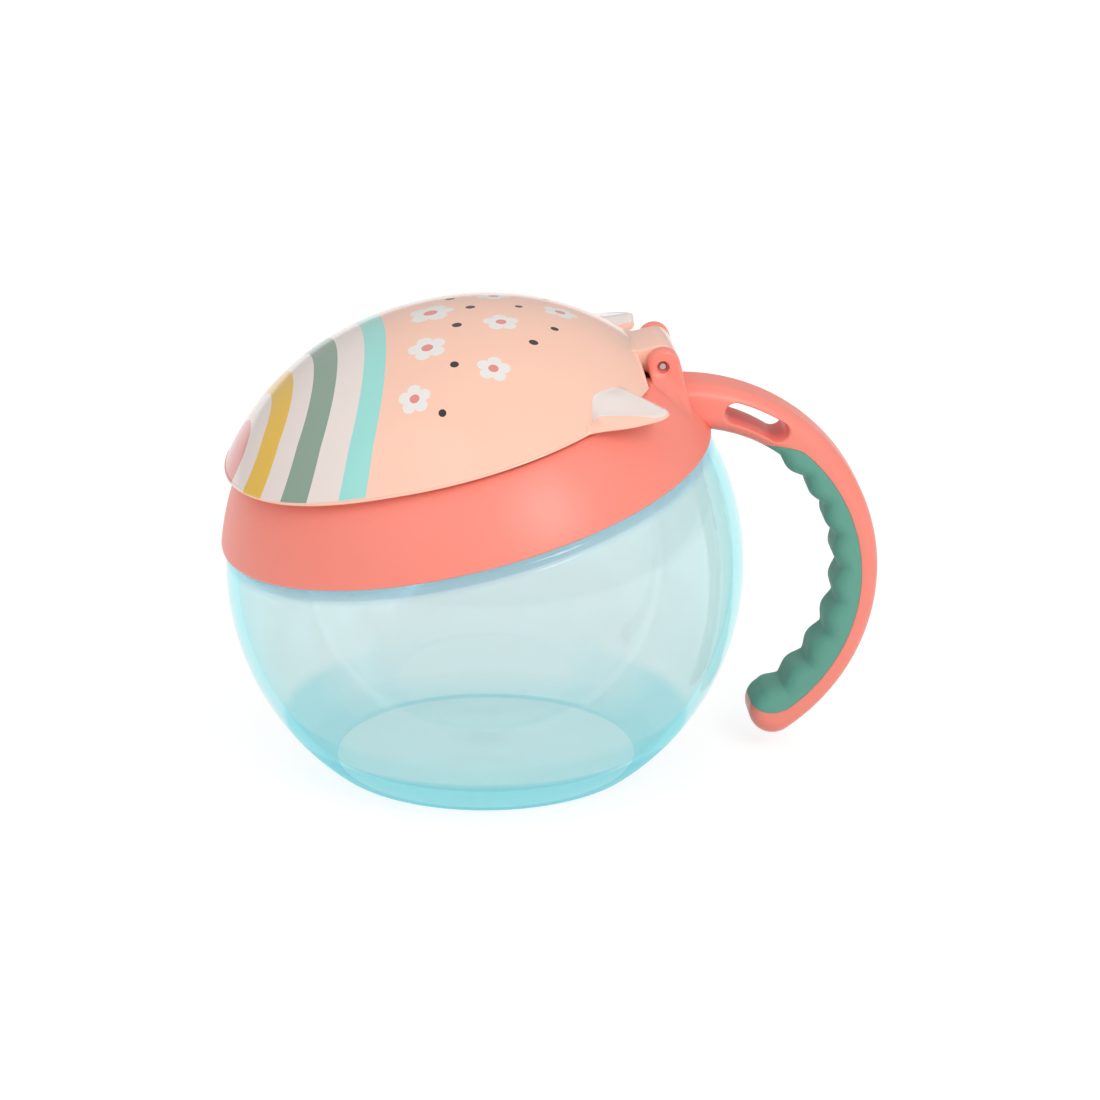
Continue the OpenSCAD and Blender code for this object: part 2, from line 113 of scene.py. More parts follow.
class CupColours(bpy.types.PropertyGroup):
    """Colours of the mouldings and of the print."""

    coral: colour("Coral", "Collar and handle", (1.0, 0.272, 0.208))
    peach: colour("Peach", "Lid", (1.0, 0.600, 0.460))
    sage: colour("Sage", "Soft grip and insert", (0.130, 0.370, 0.285))
    aqua: colour("Aqua", "Clear bowl", (0.908, 0.940, 0.941))
    deep_aqua: colour("Deep aqua", "Tint that thick walls of the bowl gather", (0.10, 0.957, 1.0))
    base_edge: colour("Base edge", "Tint at the thick edge of the bowl's base", (0.36, 0.80, 0.86))
    # Bowl shoulder is painted shade: a bluish band on the clear wall under the collar, where the
    # collar's hollow darkens it
    shoulder: colour("Bowl shoulder", "Tint under the collar", (0.66, 0.80, 0.89))
    pale: colour("Pale print", "Pale stripes", (0.865, 0.757, 0.714))
    # Ear faces: the pale print, painted lighter than the pale stripes as painted light on the ears'
    # upturned faces
    ear: colour("Ear faces", "Pale print on the ears", (0.88, 0.775, 0.735))
    teal: colour("Teal stripe", "Stripe of the print", (0.330, 0.745, 0.690))
    green: colour("Green stripe", "Stripe of the print", (0.250, 0.370, 0.290))
    yellow: colour("Yellow stripe", "Stripe of the print", (0.860, 0.525, 0.045))
    rose: colour("Rose field", "Front field of the print", (0.810, 0.270, 0.240))
    petal: colour("Petals", "Petals of the print's flowers", (0.86, 0.82, 0.79))
    seed: colour("Seeds", "Dark dots of the print", (0.012, 0.011, 0.013))


def cup():
    """The sizes in millimetres, with those that follow from them."""
    sizes = bpy.context.scene.cup_sizes
    s = SimpleNamespace(**{name: getattr(sizes, name) / MM for name in CupSizes.__annotations__})
    s.mouth_tilt = sizes.mouth_tilt
    s.post_r = 3.3
    s.lid_cut = s.pin_x - s.post_r - 0.35
    s.lid_mid = -1.1
    return s


# ---- from millimetres to the frame --------------------------------------------------------------


def from_mouth(points, s, lean=1.0):
    """From the mouth's frame, or from one that takes only a share of its tilt."""
    x, y, h = np.moveaxis(np.asarray(points, float), -1, 0)
    c, n = np.cos(s.mouth_tilt * lean), np.sin(s.mouth_tilt * lean)
    return np.stack([x * c - h * n, y, x * n + h * c + s.ball_z], -1)


class Shell:
    """Vertices and faces of one or more closed shells, with a mark for each vertex."""

    def __init__(self, s):
        self.s = s
        self.verts, self.faces, self.marks = [], [], []

    def rings(self, rings, loop=False, caps=(False, False), lean=1.0, marks=0.0):
        """Joins rings of equal length, given in the mouth's frame or in one of less lean.

        loop joins the last ring to the first; caps close the ends.
        """
        rings = from_mouth(rings, self.s, lean)
        count, around = rings.shape[:2]
        faces = []
        for i in range(count if loop else count - 1):
            a, b = i * around, (i + 1) % count * around
            for j in range(around):
                k = (j + 1) % around
                faces.append((a + j, a + k, b + k, b + j))
        if caps[0]:
            faces.append(range(around)[::-1])
        if caps[1]:
            faces.append(range((count - 1) * around, count * around))
        start = len(self.verts)
        self.verts.extend(map(tuple, rings.reshape(-1, 3)))
        self.faces.extend([start + i for i in face] for face in faces)
        self.marks.extend(np.broadcast_to(marks, (count, around)).reshape(-1))


def make_piece(name, shell, slot, body, node=None):
    """Turns a shell into a smooth-shaded object on a body, in place of a node of the frame."""
    bm = bmesh.new()
    mark = bm.verts.layers.float.new("print_edge")
    verts = [bm.verts.new(Vector(point) * MM) for point in shell.verts]
    for vert, value in zip(verts, shell.marks):
        vert[mark] = value
    for face in shell.faces:
        try:
            bm.faces.new([verts[i] for i in face])
        except ValueError:  # a face with a doubled corner, or one that is there already
            pass
    bmesh.ops.remove_doubles(bm, verts=bm.verts, dist=2e-7)
    bmesh.ops.dissolve_degenerate(bm, edges=bm.edges, dist=1e-7)
    bmesh.ops.recalc_face_normals(bm, faces=bm.faces)
    sharp = math.radians(40)
    for edge in bm.edges:
        if len(edge.link_faces) == 2:
            edge.smooth = edge.calc_face_angle(0) < sharp
    for face in bm.faces:
        face.smooth = True
    mesh = bpy.data.meshes.new(name)
    bm.to_mesh(mesh)
    bm.free()
    mesh.materials.append(finish_of(slot))
    obj = bpy.data.objects.new(name, mesh)
    bpy.context.scene.collection.objects.link(obj)
    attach(obj, body)
    if node:
        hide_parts(node)
    return obj


# ---- outlines and profiles ----------------------------------------------------------------------


def rounded(corners, steps=6, closed=True):
    """Polyline through corners (x, y, radius), with each corner rounded to its radius."""
    out = []
    count = len(corners)
    for i, (x, y, r) in enumerate(corners):
        if not closed and i in (0, count - 1):
            out.append((x, y))
            continue
        p = np.array((x, y), float)
        a = np.array(corners[i - 1][:2], float) - p
        b = np.array(corners[(i + 1) % count][:2], float) - p
        la, lb = np.linalg.norm(a), np.linalg.norm(b)
        a, b = a / la, b / lb
        half = math.acos(max(-1, min(1, float(a @ b)))) / 2
        if r <= 0 or not math.radians(1) <= half <= math.radians(89):
            out.append((x, y))
            continue
        reach = min(r / math.tan(half), la * 0.49, lb * 0.49)
        r = reach * math.tan(half)
        middle = p + (a + b) / np.linalg.norm(a + b) * (r / math.sin(half))
        (u, v), end = p + a * reach - middle, p + b * reach - middle
        sweep = math.atan2(u * end[1] - v * end[0], u * end[0] + v * end[1])
        for k in range(steps + 1):
            c, n = math.cos(sweep * k / steps), math.sin(sweep * k / steps)
            out.append((middle[0] + u * c - v * n, middle[1] + u * n + v * c))
    return np.array(out)


def spread(line, step, closed=True):
    """Points at about an equal step along a polyline."""
    line = np.asarray(line, float)
    if closed:
        line = np.vstack([line, line[:1]])
    along = np.concatenate([[0], np.cumsum(np.linalg.norm(np.diff(line, axis=0), axis=1))])
    count = max(3, int(round(along[-1] / step)))
    at = np.linspace(0, along[-1], count + 1)
    if closed:
        at = at[:-1]
    return np.stack([np.interp(at, along, line[:, 0]), np.interp(at, along, line[:, 1])], -1)


def turn(count):
    """Equal angles once round."""
    return np.arange(count) * 2 * math.pi / count


def arc(radius, start, end, count, centre=(0, 0)):
    """Points of an arc, with its angles in degrees."""
    a = np.radians(np.linspace(start, end, count))
    return np.stack([centre[0] + radius * np.cos(a), centre[1] + radius * np.sin(a)], -1)


def around_axis(profile, angles):
    """Rings of a profile of (radius, height), one for each of its points."""
    profile = np.asarray(profile, float)
    r, h = profile[:, 0][:, None], profile[:, 1][:, None]
    flat = np.broadcast_to(h, (len(profile), len(angles)))
    return np.stack([r * np.cos(angles), r * np.sin(angles), flat], -1)


def standing(section, a):
    """Stands a section of (radius, height) up at an angle round the axis."""
    r, h = section[:, 0], section[:, 1]
    return np.column_stack([r * math.cos(a), r * math.sin(a), h])


def across(side_view, y):
    """Puts a side view's points at a distance out from the plane of symmetry."""
    return np.column_stack([side_view[:, 0], np.full(len(side_view), y), side_view[:, 1]])


def upright(points):
    """Stands a plate up in the plane of symmetry."""
    return points[:, [0, 2, 1]]


def radius_at(ball, h):
    """Radius at which a ball is cut at a height above its centre."""
    return math.sqrt(ball**2 - h**2)


def drop(depth, radius):
    """How far a rounded edge lies below its face, at a distance in from the edge."""
    inside = np.clip(radius - np.maximum(depth, 0), 0, radius)
    return radius - np.sqrt(np.maximum(radius**2 - inside**2, 0))


def blend_up(a, b, soft):
    """The greater of two heights, with a soft crease between them."""
    h = np.clip(0.5 + 0.5 * (b - a) / soft, 0, 1)
    return a * (1 - h) + b * h + soft * h * (1 - h)


def step_up(value, low, high):
    """Rises smoothly from 0 to 1 between two values."""
    t = np.clip((np.asarray(value, float) - low) / (high - low), 0, 1)
    return t * t * (3 - 2 * t)


def quarter(steps, first=0):
    """Sine and cosine at equal steps of a quarter turn."""
    angles = [QUARTER * k / steps for k in range(first, steps + 1)]
    return [(math.sin(t), math.cos(t)) for t in angles]


def inset(outline, distance):
    """Moves a closed, counter-clockwise outline inwards."""
    along = np.roll(outline, -1, 0) - np.roll(outline, 1, 0)
    along /= np.linalg.norm(along, axis=1)[:, None] + 1e-12
    inward = np.stack([-along[:, 1], along[:, 0]], -1)
    return outline + inward * np.reshape(distance, (-1, 1))


def plate(shell, outline, low, high, edge, place, steps=5, marks=0.0):
    """A plate with rounded edges between two heights; place() turns (u, v, w) into (x, y, h)."""
    lower = [(inset(outline, edge * (1 - n)), low + edge * (1 - c)) for n, c in quarter(steps)]
    upper = [(inset(outline, edge * (1 - n)), high - edge * (1 - c)) for n, c in quarter(steps)]
    rings = [
        place(np.column_stack([ring, np.full(len(ring), w)])) for ring, w in lower + upper[::-1]
    ]
    shell.rings(rings, caps=(True, True), marks=marks)


# ---- materials ----------------------------------------------------------------------------------


class Graph:
    """The node tree of a material or of the world, built up by short calls."""

    def __init__(self, owner):
        self.owner = owner
        owner.use_nodes = True
        self.nodes, self.links = owner.node_tree.nodes, owner.node_tree.links
        self.nodes.clear()

    def add(self, kind, sockets=None, **settings):
        node = self.nodes.new(kind)
        for key, value in settings.items():
            setattr(node, key, value)
        for key, value in (sockets or {}).items():
            if isinstance(value, bpy.types.NodeSocket):
                self.links.new(value, node.inputs[key])
            else:
                node.inputs[key].default_value = value
        return node

    def math(self, operation, *values, clamp=False):
        sockets = dict(enumerate(values))
        return self.add("ShaderNodeMath", sockets, operation=operation, use_clamp=clamp).outputs[0]

    def vector(self, operation, a, b=(0, 0, 0)):
        """Number that a vector operation gives."""
        node = self.add("ShaderNodeVectorMath", {0: a, 1: b}, operation=operation)
        return node.outputs["Value"]

    def ramp(self, value, start, slope):
        """Grows from 0 at a start to 1."""
        return self.math("MULTIPLY_ADD", value, slope, -slope * start, clamp=True)

    def mix(self, factor, a, b):
        """Mix of two colours."""
        sockets = {0: factor}
        for key, value in ((6, a), (7, b)):
            sockets[key] = value if isinstance(value, bpy.types.NodeSocket) else (*value, 1)
        return self.add("ShaderNodeMix", sockets, data_type="RGBA").outputs[2]

    def blend(self, factor, a, b):
        """Mix of two shaders."""
        return self.add("ShaderNodeMixShader", {0: factor, 1: a, 2: b}).outputs[0]

    def here(self):
        return self.add("ShaderNodeTexCoord").outputs["Object"]

    def noise(self, scale, detail=2.0, rough=0.5):
        sockets = {"Vector": self.here(), "Scale": scale, "Detail": detail, "Roughness": rough}
        return self.add("ShaderNodeTexNoise", sockets).outputs["Fac"]

    def bump(self, height, depth):
        sockets = {"Height": height, "Distance": depth, "Strength": 1.0}
        return self.add("ShaderNodeBump", sockets).outputs["Normal"]

    def varied(self, base, amount, scale):
        """A colour that varies a little over the moulding."""
        cloud = self.noise(scale, 3.0)
        darker = tuple(c * (1 - amount) for c in base)
        return self.mix(cloud, darker, tuple(min(1, c * (1 + amount)) for c in base))

    def principled(self, sockets):
        return self.add("ShaderNodeBsdfPrincipled", sockets).outputs[0]

    def finish(self, surface, volume=None):
        kind = "World" if isinstance(self.owner, bpy.types.World) else "Material"
        sockets = {"Surface": surface} if volume is None else {"Surface": surface, "Volume": volume}
        self.add("ShaderNodeOutput" + kind, sockets)
        return self.owner


def new_material(name):
    return Graph(bpy.data.materials.new(name))


def coral_plastic(c):
    """Satin moulding with a fine grain, a little worn in its gloss."""
    g = new_material("coral_plastic")
    grain = g.noise(1700, 2.0, 0.6)
    wear = g.noise(90, 3.0)
    satin = {
        "Base Color": g.varied(c.coral, 0.025, 35),
        "Roughness": g.math("MULTIPLY_ADD", wear, 0.10, 0.30),
        "Normal": g.bump(grain, 0.000035),
        "Subsurface Weight": 0.12,
        "Subsurface Radius": (0.004, 0.0012, 0.0009),
        "Subsurface Scale": 1.0,
        "Specular IOR Level": 0.45,
    }
    return g.finish(g.principled(satin))


def soft_rubber(c):
    """Matte soft-touch rubber."""
    g = new_material("soft_rubber")
    grain = g.noise(1800, 2.0, 0.7)
    matte = {
        "Base Color": g.varied(c.sage, 0.06, 60),
        "Roughness": g.math("MULTIPLY_ADD", g.noise(120, 2.0), 0.12, 0.56),
        "Normal": g.bump(grain, 0.00003),
        "Sheen Weight": 0.12,
        "Sheen Roughness": 0.5,
        "Specular IOR Level": 0.35,
    }
    return g.finish(g.principled(matte))


def pin_steel(_):
    """Ground steel with fine turning marks."""
    g = new_material("pin_steel")
    turning = g.noise(3500, 1.0)
    ground = {
        "Base Color": g.varied((0.50, 0.48, 0.47), 0.1, 900),
        "Metallic": 1.0,
        "Roughness": g.math("MULTIPLY_ADD", turning, 0.15, 0.32),
        "Normal": g.bump(turning, 0.00001),
    }
    return g.finish(g.principled(ground))


def aqua_tint_and_painted_shade(g, c, s, facing):
    """Tint of the clear wall, deeper at the thick edge of the base, with painted shade in a bluish
    band on the shoulder under the collar.
    """
    x, y, z = g.add("ShaderNodeSeparateXYZ", {0: g.here()}).outputs
    level = g.math("SUBTRACT", z, s.ball_z * MM)
    raised = g.math("MULTIPLY", level, math.cos(s.mouth_tilt))
    raised = g.math("MULTIPLY_ADD", x, -math.sin(s.mouth_tilt), raised)
    # painted shade: a bluish band on the shoulder, under the collar
    shoulder = g.ramp(raised, 0.0122, 700.0)
    from_centre = g.add("ShaderNodeCombineXYZ", {0: x, 1: y, 2: level}).outputs[0]
    outer_skin = s.ball_r * MM - 0.0009
    outer = g.math("GREATER_THAN", g.vector("LENGTH", from_centre), outer_skin)
    low = g.ramp(z, 0.009, -600.0)
    slant = g.ramp(facing, 0.1212121, 3.3)
    thick = g.math("MULTIPLY", g.math("MULTIPLY", outer, low), slant)
    # the shoulder band takes the painted shade colour; the thick base edge takes its tint
    return g.mix(shoulder, g.mix(thick, c.aqua, c.base_edge), c.shoulder)


def clear_aqua(c):
    """Clear, slightly milky moulding: light dims and turns aqua on its way through the walls."""
    g = new_material("clear_aqua")
    swirl = g.bump(g.noise(45, 2.0), 0.00006)
    glass = {
        "Base Color": (0.97, 0.995, 1.0, 1),
        "Roughness": 0.05,
        "IOR": 1.45,
        "Transmission Weight": 1.0,
        "Normal": swirl,
    }
    facing = g.add("ShaderNodeLayerWeight", {"Blend": 0.5}).outputs["Facing"]
    shadow = g.add("ShaderNodeLightPath").outputs["Is Shadow Ray"]
    tint = aqua_tint_and_painted_shade(g, c, cup(), facing)
    through = g.add("ShaderNodeBsdfTransparent", {"Color": tint}).outputs[0]
    wall = g.blend(g.math("MAXIMUM", shadow, 0.86), g.principled(glass), through)
    # gloss, stronger at a glancing angle
    gloss = g.math("MULTIPLY_ADD", g.math("POWER", facing, 4.0), 0.20, 0.035)
    gloss = g.math("MULTIPLY", gloss, g.math("SUBTRACT", 1.0, shadow))
    coat = {"Color": (1, 1, 1, 1), "Roughness": 0.06, "Normal": swirl}
    coat = g.add("ShaderNodeBsdfGlossy", coat).outputs[0]
    depth = {"Color": (*c.deep_aqua, 1), "Density": 25.0}
    depth = g.add("ShaderNodeVolumeAbsorption", depth).outputs[0]
    return g.finish(g.blend(gloss, wall, coat), depth)


# Edges of the stripes, along the lid from the front, in millimetres
STRIPES = (-26.75, -25.25, -22.95, -20.25, -16.7, -12.3, -8.5)
# Place, size and turn of each flower, and place and size of each dot; both sides are alike
FLOWERS = (
    ((1.5, 0.0), 4.4, 0.3),
    ((-0.6, 14.2), 3.6, 1.1),
    ((-5.0, 26.2), 3.0, 0.4),
    ((13.5, 8.0), 3.2, 0.9),
    ((10.0, 22.6), 3.0, 0.1),
    ((24.5, 0.0), 3.0, 0.0),
)
DOTS = (
    ((5.6, 8.0), 0.9),
    ((3.4, 20.6), 0.8),
    ((8.8, 0.0), 0.9),
    ((18.2, 15.0), 0.8),
    ((17.4, 0.0), 0.7),
    ((22.6, 9.0), 0.7),
    ((-0.8, 30.4), 0.7),
)
# Marks of the lid's vertices: above 0 on an ear's printed face, and NO_PRINT on the inner ring
LOWEST_MARK, NO_PRINT = -4.0, -9.0


def mouth_axes(g, s):
    """Place on the lid in the mouth's frame, in millimetres."""
    lift = s.ball_z * math.sin(s.mouth_tilt), 0, s.ball_z * math.cos(s.mouth_tilt)
    sockets = {
        "Vector": g.here(),
        "Location": -Vector(lift),
        "Rotation": (0, s.mouth_tilt, 0),
        "Scale": (1 / MM, 1 / MM, 1 / MM),
    }
    turned = g.add("ShaderNodeMapping", sockets)
    return g.add("ShaderNodeSeparateXYZ", {0: turned.outputs[0]}).outputs


def stripe_skin(g, c, x, h):
    """Colours of the stripes across the front."""
    below = g.math("SUBTRACT", 48.6, h)
    rough_u = g.math("MULTIPLY_ADD", below, 0.65, x)
    lean = g.math("MULTIPLY_ADD", g.math("SUBTRACT", -9.0, rough_u), 0.0115, 0.55)
    u = g.math("MULTIPLY_ADD", below, lean, x)
    # the stripes straighten towards the crown
    crown = g.math("MAXIMUM", g.math("SUBTRACT", h, 38.0), 0.0)
    u = g.math("MULTIPLY_ADD", crown, -0.09, u)
    fields = (c.rose, c.pale, c.yellow, c.pale, c.green, c.pale, c.teal, c.peach)
    skin = fields[0]
    for edge, field in zip(STRIPES, fields[1:]):
        skin = g.mix(g.math("GREATER_THAN", u, edge), skin, field)
    return skin


def scatter(g, c, skin, x, side):
    """Five-petalled flowers and dots over a skin."""

    def offset(at):
        dx, dy = g.math("SUBTRACT", x, at[0]), g.math("SUBTRACT", side, at[1])
        squares = g.math("ADD", g.math("MULTIPLY", dx, dx), g.math("MULTIPLY", dy, dy))
        return dx, dy, g.math("SQRT", squares)

    for at, size, turned in FLOWERS:
        dx, dy, far = offset(at)
        angle = g.math("MULTIPLY_ADD", g.math("ARCTAN2", dy, dx), 2.5, turned)
        lobe = g.math("SQRT", g.math("ABSOLUTE", g.math("COSINE", angle)))
        reach = g.math("MULTIPLY_ADD", lobe, size * 0.42, size * 0.58)
        skin = g.mix(g.math("LESS_THAN", far, reach), skin, c.petal)
        skin = g.mix(g.math("LESS_THAN", far, size * 0.30), skin, c.rose)
    for at, size in DOTS:
        skin = g.mix(g.math("LESS_THAN", offset(at)[2], size), skin, c.seed)
    return skin


def printed_peach(c):
    """Glossy peach moulding with stripes across the front and small flowers behind them."""
    s = cup()
    g = new_material("printed_peach")
    x, y, h = mouth_axes(g, s)
    skin = scatter(g, c, stripe_skin(g, c, x, h), x, g.math("ABSOLUTE", y))
    # the print stops at the rim, and it is on the lid's outside alone
    rim_h = g.math("MULTIPLY_ADD", g.math("ADD", x, 20.0), 0.045, 30.75)
    skin = g.mix(g.math("LESS_THAN", h, rim_h), skin, c.peach)
    coords = g.add("ShaderNodeTexCoord").outputs
    sockets = {0: coords["Object"], 1: (0, 0, s.ball_z * MM)}
    outward = g.add("ShaderNodeVectorMath", sockets, operation="SUBTRACT").outputs[0]
    out = g.vector("DOT_PRODUCT", outward, coords["Normal"])
    skin = g.mix(g.math("GREATER_THAN", out, 0.0), c.peach, skin)
    mark = g.add("ShaderNodeAttribute", attribute_name="print_edge").outputs["Fac"]
    skin = g.mix(g.math("LESS_THAN", mark, (LOWEST_MARK + NO_PRINT) / 2), skin, c.peach)
    # painted light: the ears' printed faces get a lighter copy of the pale print, for how light
    # falls on them
    skin = g.mix(g.math("GREATER_THAN", mark, 0.0), skin, c.ear)
    cloud = g.noise(40, 2.0)
    skin = g.mix(g.math("MULTIPLY", cloud, 0.04), skin, tuple(v * 0.7 for v in c.peach))
    haze = g.noise(260, 3.0)
    gloss = {
        "Base Color": skin,
        "Roughness": g.math("MULTIPLY_ADD", haze, 0.06, 0.13),
        "Normal": g.bump(g.noise(70, 2.0), 0.00005),
        "Subsurface Weight": 0.10,
        "Subsurface Radius": (0.004, 0.002, 0.0015),
        "Subsurface Scale": 1.0,
        "Coat Weight": 0.25,
        "Coat Roughness": 0.08,
        "Specular IOR Level": 0.5,
    }
    return g.finish(g.principled(gloss))


MAKERS = {
    "clear_bowl": clear_aqua,
    "coral_plastic": coral_plastic,
    "steel_pin": pin_steel,
    "printed_lid": printed_peach,
    "soft_grip": soft_rubber,
    "soft_insert": soft_rubber,
}
MATERIALS = {}


def finish_of(slot):
    """The material of a slot, made when it is first asked for."""
    maker = MAKERS[slot]
    if maker not in MATERIALS:
        MATERIALS[maker] = maker(bpy.context.scene.cup_colours)
    return MATERIALS[maker]


# ---- bowl ---------------------------------------------------------------------------------------


def ball_rows(radius, low, high, count):
    """Rows of the ball between two heights, level at the first and leaning fully at the last."""
    start, end = math.asin(low / radius), math.asin(high / radius)
    rows = []
    for k in range(count + 1):
        t = k / count
        a = start + (end - start) * t
        rows.append((float(step_up(t, 0, 1)), radius * math.cos(a), radius * math.sin(a)))
    return rows


def profile_rows(lean, corners, steps):
    """Rows of a rounded profile of (radius, height, rounding), all with one lean."""
    return [(lean, r, h) for r, h in rounded(corners, steps, closed=False)]


def thread_lugs(shell, wall_r, reach, mid_h):
    """Four ramped lugs on a wall, out from it or in; their ends run out into the wall."""
    half_t, half_arc, lead, root = 0.8, 13.0, 16.0, math.copysign(0.3, reach)
    for middle in range(45, 360, 90):
        sections = []
        for t in np.linspace(-1, 1, 25):
            h = mid_h + lead * half_arc * t / 360
            tip = wall_r + reach * float(step_up(1 - abs(t), 0, 0.25))
            corners = [
                (wall_r - root, h - half_t - 0.3, 0),
                (tip, h - half_t, 0.3),
                (tip, h + half_t, 0.3),
                (wall_r - root, h + half_t + 0.3, 0),
            ]
            sections.append(standing(rounded(corners, 4), math.radians(middle + half_arc * t)))
        shell.rings(sections, caps=(True, True))


class CUP_OT_bowl(bpy.types.Operator):
    """Build the clear bowl with its thick floor, neck and thread lugs"""

    bl_idname = "snackcup.bowl"
    bl_label = "Bowl"

    def execute(self, context):
        s = cup()
        shell = Shell(s)
        # a lean of 0 is level, and 1 lies square to the mouth's axis
        lean, r, h = np.array(self.outside(s) + self.inside(s)).T
        rings = around_axis(np.column_stack([r, h]), turn(288))
        shell.rings(rings, lean=lean[:, None])
        thread_lugs(shell, s.neck_r, 1.5, s.neck_h - 3.5)
        make_piece("clear_bowl", shell, "clear_bowl", "bowl", "bowl")
        return {"FINISHED"}

    def outside(self, s):
        """Base, ball, shoulder and neck, and down the neck's inside."""
        base, edge_h, under_h = -s.ball_z, s.shoulder_h - 0.9, s.shoulder_h - s.bowl_wall
        inner, rim_r = s.ball_r - s.bowl_wall, s.neck_r - s.bowl_wall
        foot, low = radius_at(s.ball_r, base), base + 0.55
        base_edge = [(foot - 2.2, base, 0), (foot, base, 2.0), (radius_at(s.ball_r, low), low, 0)]
        neck = [
            (radius_at(s.ball_r, edge_h), edge_h, 0),
            (radius_at(s.ball_r, s.shoulder_h), s.shoulder_h, 0.7),
            (s.neck_r, s.shoulder_h, 0.6),
            (s.neck_r, s.neck_h, 0.7),
            (rim_r, s.neck_h, 0.7),
            (rim_r, under_h, 1.6),
            (radius_at(inner, under_h), under_h, 1.2),
            (radius_at(inner, s.shoulder_h - 4), s.shoulder_h - 4, 0),
        ]
        rows = [(0, 0, base), (0, foot * 0.5, base)] + profile_rows(0, base_edge, 8)
        rows += ball_rows(s.ball_r, low, edge_h, 96)[1:]
        return rows + profile_rows(1, neck, 6)[1:]

    def inside(self, s):
        """The ball's inner wall and the floor, with low rings where the mould leaves its centre."""
        inner, floor = s.ball_r - s.bowl_wall, -s.ball_z + s.floor_t
        rows = ball_rows(inner, floor + 1.6, s.shoulder_h - 4, 90)[::-1][1:]
        turn_in = [(*rows[-1][1:], 0), (radius_at(inner, floor), floor, 3.0)]
        turn_in.append((inner * 0.5, floor, 0))
        rows += profile_rows(0, turn_in, 10)[1:]
        rings = ((16.0, 0), (15.7, 0.12), (14.9, 0.12), (14.6, 0), (9.0, 0), (8.7, 0.12))
        rings += ((7.9, 0.12), (7.6, 0), (2.2, 0), (1.9, -0.25), (0, -0.25))
        return rows + [(0, r, floor + up) for r, up in rings]


# ---- collar -------------------------------------------------------------------------------------


